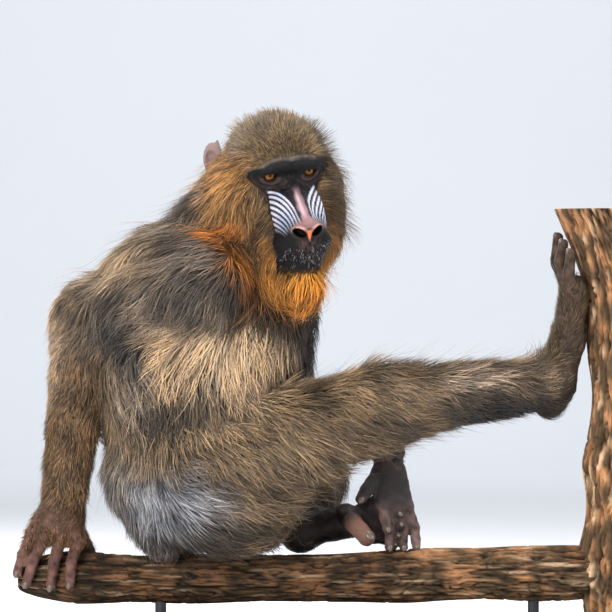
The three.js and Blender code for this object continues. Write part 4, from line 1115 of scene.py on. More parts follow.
@dataclass
class Markings:
    """The colours of hide and coat over the body, the same for skin and fur."""

    pose: Pose
    softness: float = 9.0
    brow_top: float = 22.5
    brow_fall: float = 15.0
    brow_half: float = 45.0
    tones: dict[Part, Triple] = field(default_factory=lambda: {
        Part.HEAD: (0.200, 0.135, 0.068),
        Part.BEARD: (0.95, 0.385, 0.022),
        Part.NECK: (0.170, 0.132, 0.103),
        Part.CHEST: (0.190, 0.148, 0.112),
        Part.BELLY: (0.300, 0.225, 0.150),
        Part.RUMP: (0.200, 0.188, 0.180),
        Part.TAIL: (0.20, 0.17, 0.14),
        Part.CALLOSITY_RIGHT: (0.30, 0.16, 0.15),
        Part.CALLOSITY_LEFT: (0.30, 0.16, 0.15),
        Part.ARM_UPPER_RIGHT: (0.205, 0.160, 0.118),
        # The left upper arm and forearm are far darker than the right ones: painted shade on the
        # far arm, which sits in shadow.
        Part.ARM_UPPER_LEFT: (0.050, 0.047, 0.045),
        Part.ARM_FORE_RIGHT: (0.185, 0.112, 0.056),
        Part.ARM_FORE_LEFT: (0.034, 0.032, 0.033),
        Part.HAND_RIGHT: (0.185, 0.098, 0.036),
        Part.HAND_LEFT: (0.085, 0.062, 0.052),
        Part.THIGH_RIGHT: (0.210, 0.145, 0.084),
        Part.THIGH_LEFT: (0.170, 0.130, 0.090),
        Part.SHANK_RIGHT: (0.200, 0.142, 0.090),
        # The folded left shank and foot are far darker than the right ones: painted shade on the
        # folded leg; the foot's skin is dark as well.
        Part.SHANK_LEFT: (0.085, 0.070, 0.056),
        Part.FOOT_RIGHT: (0.100, 0.066, 0.034),
        Part.FOOT_LEFT: (0.026, 0.018, 0.016),
    })
    hides: dict[Part, Triple] = field(default_factory=lambda: {
        Part.HAND_RIGHT: (0.120, 0.062, 0.050),
        Part.HAND_LEFT: (0.175, 0.112, 0.098),
        Part.FOOT_RIGHT: (0.066, 0.042, 0.030),
        # The left foot's near-black skin is partly its own dark skin and partly painted shade on
        # the folded foot.
        Part.FOOT_LEFT: (0.013, 0.009, 0.008),
    })
    hide_patches: tuple[Patch, ...] = (
        Patch((24, -24, 136), (20, 20, 20), (0.20, 0.105, 0.075), 0.9),
        Patch((50, -10, 186), (60, 60, 26), (0.030, 0.027, 0.027), 0.95),
        Patch((240, -10, 270), (34, 40, 26), (0.022, 0.016, 0.012), 0.9),
    )
    patches: tuple[Patch, ...] = (
        # Painted highlight: the top of the mantle over the shoulder is lightened to a pale tan, as
        # where the top light falls.
        Patch((-210, -60, 440), (55, 70, 28), (0.40, 0.300, 0.195), 0.8),
        Patch((-156, -45, 502), (28, 60, 34), (0.150, 0.132, 0.118), 0.8),
        Patch((-150, -80, 440), (34, 60, 24), (0.105, 0.084, 0.072), 0.85),
        Patch((-164, -85, 464), (26, 50, 20), (0.110, 0.092, 0.080), 0.75),
        Patch((-118, -100, 408), (42, 60, 26), DARK_MANTLE, 0.85),
        Patch((-168, -100, 400), (30, 60, 20), DARK_MANTLE, 0.5),
        # Painted shade: the chest below the beard is darkened almost to black.
        Patch((-78, -60, 380), (54, 80, 30), (0.034, 0.025, 0.018), 0.95),
        Patch((-92, -95, 392), (15, 50, 20), (0.115, 0.060, 0.028), 0.8),
        # Painted shade on the front of the chest under the beard.
        Patch((-38, -60, 352), (20, 80, 24), (0.060, 0.050, 0.044), 0.92),
        Patch((-140, -70, 334), (80, 70, 25), (0.57, 0.42, 0.275), 0.92),
        Patch((-98, -90, 344), (46, 60, 22), (0.90, 0.68, 0.45), 0.9),
        # Painted shade in the fold between the belly and the thigh.
        Patch((-176, -60, 283), (48, 70, 17), (0.035, 0.026, 0.020), 0.92),
        Patch((-226, -60, 300), (20, 60, 26), (0.30, 0.25, 0.21), 0.75),
        Patch((-178, -60, 178), (50, 80, 36), (0.34, 0.36, 0.41), 0.95),
        # Painted shade along the bottom of the body where it sits on the branch.
        Patch((-150, -40, 138), (90, 90, 18), (0.048, 0.040, 0.034), 0.88),
        # Painted highlight: a pale rim down the outer edge of the propped upper arm.
        Patch((-302, -40, 372), (15, 50, 90), (0.52, 0.38, 0.26), 0.8),
        # Painted shade: the dark gap between the propped arm and the body, under the arm.
        Patch((-216, -70, 346), (22, 80, 34), (0.012, 0.016, 0.020), 0.95),
        Patch((-240, -100, 372), (15, 50, 40), (0.016, 0.020, 0.024), 0.85),
        Patch((-20, -60, 330), (70, 60, 18), (0.135, 0.092, 0.050), 0.7),
        Patch((-8, -80, 268), (62, 60, 26), (0.130, 0.088, 0.048), 0.6),
        Patch((124, -45, 295), (44, 40, 10), (0.62, 0.48, 0.38), 0.9),
        # Painted shade along the underside of the reaching shank.
        Patch((150, -40, 266), (112, 60, 23), (0.008, 0.007, 0.006), 0.96),
        Patch((-36, -98, 394), (44, 40, 12), (0.42, 0.155, 0.028), 0.75),
        Patch((238, -10, 272), (26, 40, 24), (0.020, 0.016, 0.012), 0.9),
        Patch((-109, -88, 461), (12, 30, 12), ORANGE, 0.85),
        Patch((-121, -86, 447), (13, 30, 14), ORANGE, 0.9),
        Patch((-110, -92, 425), (14, 30, 13), ORANGE, 0.88),
        Patch((-94, -98, 408), (15, 30, 11), ORANGE, 0.5),
        Patch((-90, -100, 440), (16, 40, 17), (0.065, 0.036, 0.018), 0.9),
    )

    def weights(self, flesh: Flesh, p: Array) -> Weights:
        """How much each point belongs to each part, adding up to 1.

        Args:
            flesh: The masses.
            p: Points in the row frame.

        Returns:
            Shares by part.
        """
        distances = flesh.part_distances(p)
        least = np.min(list(distances.values()), axis=0)
        raw = {part: np.exp(-(d - least) / self.softness) for part, d in distances.items()}
        total = sum(raw.values())
        return {part: w / total for part, w in raw.items()}

    def brow(self, left: Array) -> Array:
        """The height of the brow's edge across the face, in head axes."""
        fall = self.brow_fall - 4.0 * np.sign(left)
        return self.brow_top - fall * (left / self.brow_half) ** 2

    def coat(self, p: Array, weights: Weights) -> Array:
        """The colour of the coat at points on the body.

        Args:
            p: Points in the row frame.
            weights: How much each point belongs to each part.

        Returns:
            One colour for each point.
        """
        colour = sum(weights[part][:, None] * np.array(self.tones[part]) for part in weights)
        ahead, left, up = self.pose.in_head(p).T
        head = weights[Part.HEAD]
        side = ease(np.abs(left), 24, 46)
        gold = head * side * ease(up, -74, -44) * fall(up, 2, 26)
        # Painted shade: the far (left) side of the head keeps little of the cheek gold and is
        # darkened to 0.4 of its tone, as on the side turned from the light.
        gold = gold * (1.0 - 0.8 * ease(left, 20, 40))
        colour = over(colour, 0.85 * gold, (0.74, 0.345, 0.066))
        far_side_shade = head * ease(left, 26, 44)
        colour = colour * (1.0 - 0.6 * far_side_shade[:, None])
        # Painted shade: the beard's far (left) side under the chin is darkened to a dark brown.
        beard_far_shade = weights[Part.BEARD] * ease(left, 14, 30) * ease(up, -94, -76)
        colour = over(colour, 0.85 * beard_far_shade, (0.105, 0.070, 0.042))
        # Painted shade: the lower sides of the head along the jaw are darkened to a dark brown.
        low = head * ease(np.abs(left), 14, 26) * ease(-up, 52, 72)
        colour = over(colour, 0.85 * low, (0.095, 0.048, 0.020))
        # Painted shade: the cheek fur right beside the muzzle is darkened by half.
        beside = head * ease(ahead, 26, 40) * ease(-up, 6, 30)
        beside = beside * ease(np.abs(left), 24, 32)
        colour = colour * (1.0 - 0.5 * beside[:, None])
        run, turn = self.pose.along_muzzle(p)
        shadow = hump(turn, 108.0, 20.0) * ease(run, 0.05, 0.3)
        shadow = head * shadow * fall(run, 1.2, 1.6)
        colour = over(colour, 0.75 * shadow, (0.060, 0.034, 0.018))
        for patch in self.patches:
            colour = patch.lay(p, colour)
        streak = ripple(p * np.array((1.0, 1.0, 0.5)), 34.0, 3)
        return np.clip(colour * (1.0 + 0.3 * streak[:, None]), 0.004, 0.9)

    def bare(self, p: Array, weights: Weights) -> Array:
        """How bare of fur the skin is at points, 0 for thick coat to 1 for bare.

        Args:
            p: Points in the row frame.
            weights: How much each point belongs to each part.

        Returns:
            One share for each point.
        """
        ahead, left, up = self.pose.in_head(p).T
        run, turn = self.pose.along_muzzle(p)
        out = np.abs(left)
        top = fall(up - self.brow(left), -3.0, 1.0)
        low = -15.0 + 18.0 * np.clip((out - 26.0) / 20.0, 0.0, 1.0)
        plate = top * ease(up - low, -4.0, 1.0) * fall(out, 42, 49)
        plate = plate * ease(ahead, 12, 24)
        reach = 66.0 + 34.0 * np.clip((run + 0.02) / 0.62, 0.0, 1.3) ** 1.3
        panel = ease(ahead, 40, 50) * fall(turn - reach, 0.0, 5.0) * top
        chin = ease(run, 0.80, 0.92) * ease(ahead, 60, 70)
        chin = chin * fall(out, 31, 35) * ease(up, -100, -92)
        face = np.maximum(np.maximum(plate, panel), chin) * ease(weights[Part.HEAD], 0.3, 0.6)
        seat = weights[Part.CALLOSITY_RIGHT] + weights[Part.CALLOSITY_LEFT]
        return np.clip(face + ease(seat, 0.4, 0.7), 0.0, 1.0)


@dataclass
class Face:
    """The bare face: ridged cheeks, bridge, nostrils, lips and lids."""

    pose: Pose
    markings: Markings
    eye_at: Triple = (41.0, 21.5, 2.0)
    eye_radius: float = 9.5
    opening: Triple = (12.0, 6.9, 3.6)
    nostril_at: Triple = (109.0, 9.6, -41.0)
    nostril: Triple = (8.5, 7.4, 3.9)
    grooves: float = 6.0
    ridge_height: float = 1.7
    mouth_level: float = -72.0

    def carve(self, p: Array, d: Array) -> Array:
        """Nostrils and eye openings cut out of the head, with lids round the eyes.

        Args:
            p: Points in the row frame.
            d: Their distances from the plain head.

        Returns:
            The distances after the cuts.
        """
        axes = self.pose.head
        a, b, c = self.eye_at
        for side in (-1, 1):
            local = self.pose.in_head(p) - np.array((a, side * b, c))
            near = np.abs(local).max(-1) < 24.0
            q = local[near]
            ring = np.sqrt((q[:, 1] / (self.opening[1] + 1.6)) ** 2
                           + ((q[:, 2] - 0.6) / (self.opening[2] + 1.4)) ** 2)
            ball = np.linalg.norm(q, axis=1) - self.eye_radius - 2.3
            lids = np.maximum(ball, 6.5 * (ring - 1.35))
            d[near] = joined(d[near], lids, 2.0)
            cuts = (
                (self.pose.head_point(a, side * b, c), (self.eye_radius,) * 3),
                (self.pose.head_point(a + 12, side * b, c + 0.6), self.opening),
            )
            for at, radii in cuts:
                self.cut(p, d, Ball(Part.HEAD, at, np.array(radii, float), axes, 0.0), 0.7)
            at = self.pose.head_point(self.nostril_at[0], side * self.nostril_at[1],
                                      self.nostril_at[2])
            tilt = math.radians(26.0 * side)
            turned = np.array([
                axes[0],
                axes[1] * math.cos(tilt) + axes[2] * math.sin(tilt),
                axes[2] * math.cos(tilt) - axes[1] * math.sin(tilt),
            ])
            self.cut(p, d, Ball(Part.HEAD, at, np.array(self.nostril, float), turned, 0.0), 1.2)
        return d

    def cut(self, p: Array, d: Array, hole: Ball, blend: float) -> None:
        """Takes a hole out of the distances, in place.

        Args:
            p: Points in the row frame.
            d: Distances there.
            hole: The hole's shape.
            blend: How far two fields melt together.
        """
        near = np.abs(p - hole.at).max(-1) < hole.reach + 6.0
        if near.any():
            d[near] = -joined(-d[near], hole.distance(p[near]), blend)

    def ridge_place(self, p: Array) -> tuple[Array, Array]:
        """Where points lie among the cheek ridges.

        Args:
            p: Points in the row frame.

        Returns:
            Place across the grooves (0 at the innermost, 1 at the outermost), and how far
            within the ridged panel a point is, 0 to 1.
        """
        run, turn = self.pose.along_muzzle(p)
        steps = np.linspace(-0.3, 1.3, 161)
        front = 24.0 + 48.0 * steps
        side = 62.0 + 34.0 * np.sign(steps) * np.abs(steps) ** 1.3
        start = 0.0 + 0.58 * steps
        bend = 2.9 - 1.4 * steps
        back = np.clip((0.95 - run[:, None]) / (0.95 - start), 0.0, 1.3)
        angle = front + (side - front) * back ** bend
        across = steps[np.abs(angle - turn[:, None]).argmin(1)]
        edge = 62.0 + 34.0 * np.sign(across) * np.abs(across) ** 1.3
        inside = fall(turn - edge, -2.0, 3.0)
        inside = inside * fall(run, 0.93, 1.02)
        inside = inside * ease(across, -0.16, -0.12) * fall(across, 0.85, 1.2)
        inside = inside * ease(run - 0.58 * across, -0.03, 0.03)
        return across, inside

    def ridges(self, p: Array) -> tuple[Array, Array]:
        """Height and paleness of the cheek ridges at points.

        Args:
            p: Points in the row frame.

        Returns:
            Two values for each point.
        """
        across, inside = self.ridge_place(p)
        wave = np.abs(np.sin(math.pi * self.grooves * across)) ** 0.7
        run, _ = self.pose.along_muzzle(p)
        worn = 1.0 - 0.55 * ease(run, 0.72, 0.98)
        return inside * (wave - 0.35), inside * worn * ease(wave, 0.58, 0.97)

    def relief(self, p: Array) -> Array:
        """How far details of the face stand out from the plain muzzle.

        Args:
            p: Points in the row frame.

        Returns:
            One height for each point.
        """
        ahead, left, up = self.pose.in_head(p).T
        run, turn = self.pose.along_muzzle(p)
        height, _ = self.ridges(p)
        relief = self.ridge_height * height * ease(ahead, 40, 50)
        bridge = hump(turn, 0.0, 11.0) * ease(run, 0.0, 0.2)
        relief = relief + 0.9 * bridge * fall(run, 0.9, 1.0)
        brow = self.markings.brow(left) - 2.6
        relief = relief + 0.8 * hump(up, brow, 2.0) * ease(ahead, 20, 34)
        line = self.mouth_level + 0.006 * left * left - up
        relief = relief - 1.9 * hump(line, 0.0, 1.3) * ease(ahead, 62, 74)
        for side in (-1, 1):
            off = np.hypot((left - side * self.eye_at[1]) / 1.75, (up - 1.0) * 1.1)
            ring = ease(off, 6.6, 8.0) * fall(off, 13.0, 17.0)
            relief = relief + 0.42 * ring * np.sin(off * 2.0 * math.pi / 2.6) * (ahead > 24)
        return relief

    def paint(self, p: Array, coat: Array, bare: Array) -> Array:
        """The colours of the face at points.

        Args:
            p: Points on the head.
            coat: The coat's colour there.
            bare: How bare the skin is there.

        Returns:
            One colour for each point.
        """
        ahead, left, up = self.pose.in_head(p).T
        run, turn = self.pose.along_muzzle(p)

        # Painted shade: the skin under the fur is kept at a third of the coat's tone, as the shade
        # deep between the tufts.
        colour = coat * 0.35
        colour = over(colour, bare, (0.006, 0.0055, 0.006))
        patchy = np.clip(0.4 + 0.7 * ripple(p, 7.0, 21), 0.0, 1.0)
        below = ease(run, 0.95, 1.1) * ease(-up, 46, 52) * fall(-up, 58, 68)
        below = below * fall(np.abs(left), 9.0, 16.0)
        colour = over(colour, below * patchy * 0.5, (0.13, 0.070, 0.072))
        brow = self.markings.brow(left) - 1.1
        band = hump(up, brow, 1.3) * ease(ahead, 16, 30)
        colour = over(colour, 0.75 * band * (0.55 + 0.45 * patchy), (0.150, 0.118, 0.100))
        _, pale = self.ridges(p)
        tint = 0.5 + 0.5 * ripple(p, 22.0, 31)
        blue = np.array((0.34, 0.39, 0.52)) * (1 - tint[:, None])
        blue = blue + np.array((0.64, 0.62, 0.71)) * tint[:, None]
        front = ease(ahead, 42, 50)
        colour = over(colour, 0.97 * pale * front, blue)
        long_way = ease(run, 0.02, 0.22) * fall(run, 0.98, 1.06)
        wander = 3.0 * ripple(p, 13.0, 33)
        middle = fall(turn + wander, 6.0, 14.5) * long_way * front
        bridge_tone = np.array((0.085, 0.048, 0.056)) + ease(run, 0.1, 0.75)[:, None] * np.array(
            (0.20, 0.115, 0.125))
        colour = over(colour, 0.92 * middle, bridge_tone)
        flank = hump(turn, 16.5, 3.4) * long_way * front
        colour = over(colour, 0.9 * flank * fall(run, 0.75, 0.95), (0.02, 0.015, 0.02))
        # Painted highlight: a pale streak down the bridge of the nose, a little to one side of its
        # middle.
        shine = hump(left, -1.6, 2.0) * middle * ease(run, 0.12, 0.4)
        shine = shine * fall(run, 0.7, 0.95)
        colour = over(colour, 0.6 * shine, (0.66, 0.50, 0.53))
        a, b, c = self.nostril_at
        rim = np.zeros(len(p))
        deep = np.zeros(len(p))
        for side in (-1, 1):
            off = np.stack([(ahead - a + 2) / 13.0, (left - side * b) / 11.0, (up - c) / 7.8], -1)
            rim = np.maximum(rim, 1.0 - ease(np.linalg.norm(off, axis=1), 0.74, 1.0))
            slant = math.radians(26.0)
            aside = (left * side - b) * math.cos(slant) + (up - c) * math.sin(slant)
            above = (up - c) * math.cos(slant) - (left * side - b) * math.sin(slant)
            off = np.stack([(ahead - a) / 11.0, aside / 8.3, above / 4.7], -1)
            deep = np.maximum(deep, 1.0 - ease(np.linalg.norm(off, axis=1), 0.88, 1.02))
        below = 0.08 + 0.92 * ease(up - c, -1.5, 3.5)
        colour = over(colour, 0.85 * rim * below, (0.27, 0.140, 0.135))
        pad = ease(run, 0.86, 0.98) * ease(up - c, 3.5, 6.0)
        pad = pad * fall(np.abs(left), 11.0, 15.0) * front
        colour = over(colour, 0.8 * pad, (0.27, 0.145, 0.140))
        # Painted highlight along the top edge of the nose rim, over its pink skin.
        upper = rim * hump(up - c, 5.6, 1.8) * ease(ahead, 96, 102)
        colour = over(colour, 0.75 * upper, (0.66, 0.37, 0.31))
        # Painted shade: the inside of each nostril is darkened almost to black.
        colour = colour * (1.0 - 0.97 * deep[:, None])
        wide = np.clip(2.6 + 0.26 * (up - c), 0.7, 3.4)
        wedge = np.exp(-((left / wide) ** 4)) * ease(ahead, 98, 103)
        wedge = wedge * ease(up, c - 10.0, c - 7.5) * fall(up, c + 1.5, c + 4.0)
        colour = over(colour, 0.95 * wedge, (0.70, 0.185, 0.075))
        for side in (-1, 1):
            off = np.hypot((left - side * self.eye_at[1]) / 1.7, up - 1.0)
            lid = hump(off, 5.4, 1.0) * (ahead > 34) * (up < 2.0)
            colour = over(colour, 0.5 * lid, (0.12, 0.060, 0.050))
            fold = hump(off, 9.6, 0.9) * (up < -1.0) * (ahead > 34)
            colour = over(colour, 0.2 * fold, (0.12, 0.062, 0.055))
        return colour


@dataclass
class Skin:
    """The skin of the whole animal, finer on face, hands and feet."""

    flesh: Flesh
    anatomy: Anatomy
    markings: Markings
    face: Face
    coat_step: float = 3.8
    body_step: float = 6.2
    face_step: float = 1.2
    digit_step: float = 2.1
    coat_depth: float = 4.5
    face_starts: float = 21.0
    body_opens: float = 31.0
    low: Array = field(default_factory=lambda: np.array([-365.0, -165.0, 60.0]))
    high: Array = field(default_factory=lambda: np.array([290.0, 268.0, 600.0]))
    finish: HideFinish = HideFinish("bare_hide", 0.5)
    face_points: Array | None = None
    face_normals: Array | None = None

    def sample(self, step: float) -> SampledField:
        """The whole body's distance on a grid, for the skin or the coat to follow."""
        return SampledField(self.low, step, self.flesh.grid(self.low, self.high, step))

    def depth(self, p: Array) -> Array:
        """How deep under the middle of the coat the skin lies at points.

        Args:
            p: Points in the row frame.

        Returns:
            One depth for each point.
        """
        weights = self.markings.weights(self.flesh, p)
        ends = (Part.HAND_RIGHT, Part.HAND_LEFT, Part.FOOT_RIGHT, Part.FOOT_LEFT,
                Part.CALLOSITY_RIGHT, Part.CALLOSITY_LEFT)
        bare = np.clip(sum(weights[part] for part in ends) * 1.3, 0.0, 1.0)
        bare = np.maximum(bare, self.markings.bare(p, weights))
        shallow = 0.5 * weights[Part.HEAD] + 0.6 * weights[Part.ARM_FORE_RIGHT]
        shallow = shallow + 0.3 * weights[Part.SHANK_RIGHT]
        return self.coat_depth * (1.0 - bare) * (1.0 - shallow)

    def body_shell(self, sampled: SampledField, open_face: bool) -> tuple[Array, Array]:
        """The coarse skin of trunk and limbs.

        Args:
            sampled: The body's distance.
            open_face: Whether the face is left out, for its finer skin.

        Returns:
            Points and faces.
        """
        values = sampled.values
        if open_face:
            p = lattice(sampled.low, sampled.step, values.shape)
            ahead, left, up = np.moveaxis(self.anatomy.pose.in_head(p), -1, 0)
            room = np.maximum(self.body_opens - ahead, np.abs(left) - 36.0)
            room = np.maximum(room, np.maximum(up - 22.0, -80.0 - up))
            values = np.maximum(values, -room)
        points, faces = surface_net(values, sampled.low, sampled.step)
        inward = unit(sampled.slope(points))
        return points - inward * (self.depth(points) + 1.2)[:, None], faces

    def fine_shell(self, flesh: Flesh, low: Array, high: Array, step: float,
                   reach: Callable[[Array], Array],
                   carve: Callable[[Array, Array], Array] | None = None) -> tuple[Array, Array]:
        """A finer skin within a region, closed where the region ends.

        Args:
            flesh: The masses to cover.
            low: Lowest corner of the box to mesh.
            high: Highest corner of the box.
            step: Distance between grid points.
            reach: Distance from the region's end, negative within it.
            carve: Cuts to apply to the distances.

        Returns:
            Points and faces.
        """
        counts = np.ceil((high - low) / step).astype(int) + 1
        p = lattice(low, step, counts).reshape(-1, 3)
        values = flesh.grid(low, high, step).ravel()
        if carve is not None:
            values = carve(p, values)
        values = joined(-values, -reach(p), 3.0) * -1.0
        values = values.reshape(counts)
        for axis in range(3):
            rim = np.moveaxis(values, axis, 0)
            rim[0] = np.maximum(rim[0], 0.2)
            rim[-1] = np.maximum(rim[-1], 0.2)
        return surface_net(values, low, step)

    def face_shell(self) -> tuple[Array, Array]:
        """The fine skin of the face, with ridges, nostrils and lids.

        Returns:
            Points and faces.
        """
        pose = self.anatomy.pose
        corners = np.array([pose.head_point(a, b, c)
                            for a in (8, 118) for b in (-50, 50) for c in (-98, 34)])
        low, high = corners.min(0) - 3.0, corners.max(0) + 3.0

        def reach(p: Array) -> Array:
            """Distance behind the plane where the face begins, and outside its sides.

            Args:
                p: Points in the row frame.

            Returns:
                One distance for each point.
            """
            ahead, left, up = pose.in_head(p).T
            beside = np.maximum(np.abs(left) - 46.0, np.maximum(up - 31.0, -94.0 - up))
            return np.maximum(self.face_starts - ahead, beside)

        points, faces = self.fine_shell(self.flesh, low, high, self.face_step, reach,
                                        self.face.carve)
        normal = unit(slope_of(self.flesh.distance, points))
        weights = self.markings.weights(self.flesh, points)
        bare = self.markings.bare(points, weights)
        ahead, left, up = pose.in_head(points).T
        a, b, c = self.face.eye_at
        eyes = np.minimum(np.hypot(left - b, up - c), np.hypot(left + b, up - c))
        calm = ease(eyes, 6.0, 9.0)
        edge = ease(up - self.markings.brow(left), -8.0, -1.0)
        push = (self.face.relief(points) * calm - 2.8 * edge) * bare
        push = push - self.depth(points) - 1.0 * (1.0 - bare)
        self.face_points, self.face_normals = points + normal * push[:, None], normal
        return self.face_points, faces

    def end_shells(self) -> list[tuple[Array, Array]]:
        """The fine skins of the hands and feet.

        Returns:
            Points and faces of each.
        """
        pose = self.anatomy.pose
        ends = (
            (Part.HAND_RIGHT, pose.wrist_right, pose.elbow_right, 16.0),
            (Part.HAND_LEFT, pose.wrist_left, pose.elbow_left, 14.0),
            (Part.FOOT_RIGHT, pose.ankle_right, pose.knee_right, 12.0),
            (Part.FOOT_LEFT, pose.ankle_left, pose.knee_left, 12.0),
        )
        shells = []
        for part, joint, beyond, up_limb in ends:
            own = [limb for limb in self.flesh.limbs if any(m.part is part for m in limb.masses)]
            masses = [m for limb in own for m in limb.masses if m.part is part]
            low = np.min([m.at - m.reach for m in masses], axis=0) - 4.0
            high = np.max([m.at + m.reach for m in masses], axis=0) + 4.0
            away = unit(np.array(beyond) - np.array(joint))
            start = np.array(joint) + away * up_limb

            def reach(p: Array, away: Array = away, start: Array = start) -> Array:
                """Distance up the limb past the end of the fine skin."""
                return (p - start) @ away

            points, faces = self.fine_shell(Flesh(own), low, high, self.digit_step, reach)
            normal = unit(slope_of(Flesh(own).distance, points))
            crease = 0.22 * ripple(points, 3.4, 51) + 0.3 * ripple(points, 8.0, 52)
            crease = crease - 3.2 * ease(reach(points), -20.0, -3.0)
            shells.append((points + normal * crease[:, None], faces))
        return shells

    def build(self) -> Piece:
        """The skin as one piece, painted with the markings.

        Returns:
            The piece.
        """
        body = self.body_shell(self.sample(self.body_step), True)
        shells = [body, self.face_shell(), *self.end_shells()]
        points = np.concatenate([s[0] for s in shells])
        offsets = np.cumsum([0] + [len(s[0]) for s in shells[:-1]])
        faces = np.concatenate([s[1] + o for s, o in zip(shells, offsets)])
        mesh = make_mesh("skin", points, faces)
        weights = self.markings.weights(self.flesh, points)
        coat = self.markings.coat(points, weights)
        bare = self.markings.bare(points, weights)
        # Painted shade: the skin under the coat is kept at a third of the coat's tone, as the shade
        # deep between the tufts.
        colours = coat * 0.35
        head = weights[Part.HEAD] > 0.2
        colours[head] = self.face.paint(points[head], coat[head], bare[head])
        for part, tone in self.markings.hides.items():
            w = weights[part][:, None]
            patchy = 1.0 + 0.4 * ripple(points, 11.0, 61) + 0.3 * ripple(points, 4.0, 62)
            colours = colours * (1 - w) + w * np.array(tone) * patchy[:, None]
        for patch in self.markings.hide_patches:
            colours = patch.lay(points, colours)
        colours = np.clip(colours, 0.002, 0.95)
        paint(mesh, self.finish.layer, colours)
        piece = place(mesh, self.finish.build())
        declare(piece, "skin_dark", *[part.value for part in Part])
        return piece


@dataclass(frozen=True)
class CoatKind:
    """The coat of one part: millimetres, tufts to the square centimetre, and how it gathers."""

    length: float
    width: float
    lift: float
    droop: float
    density: float
    clump: float
    contrast: float = 0.3


@dataclass(frozen=True)
class Region:
    """A piece of the coat: the parts it covers, stations along its tufts and its slot."""

    name: str
    parts: tuple[Part, ...]
    stations: int
    slot: str


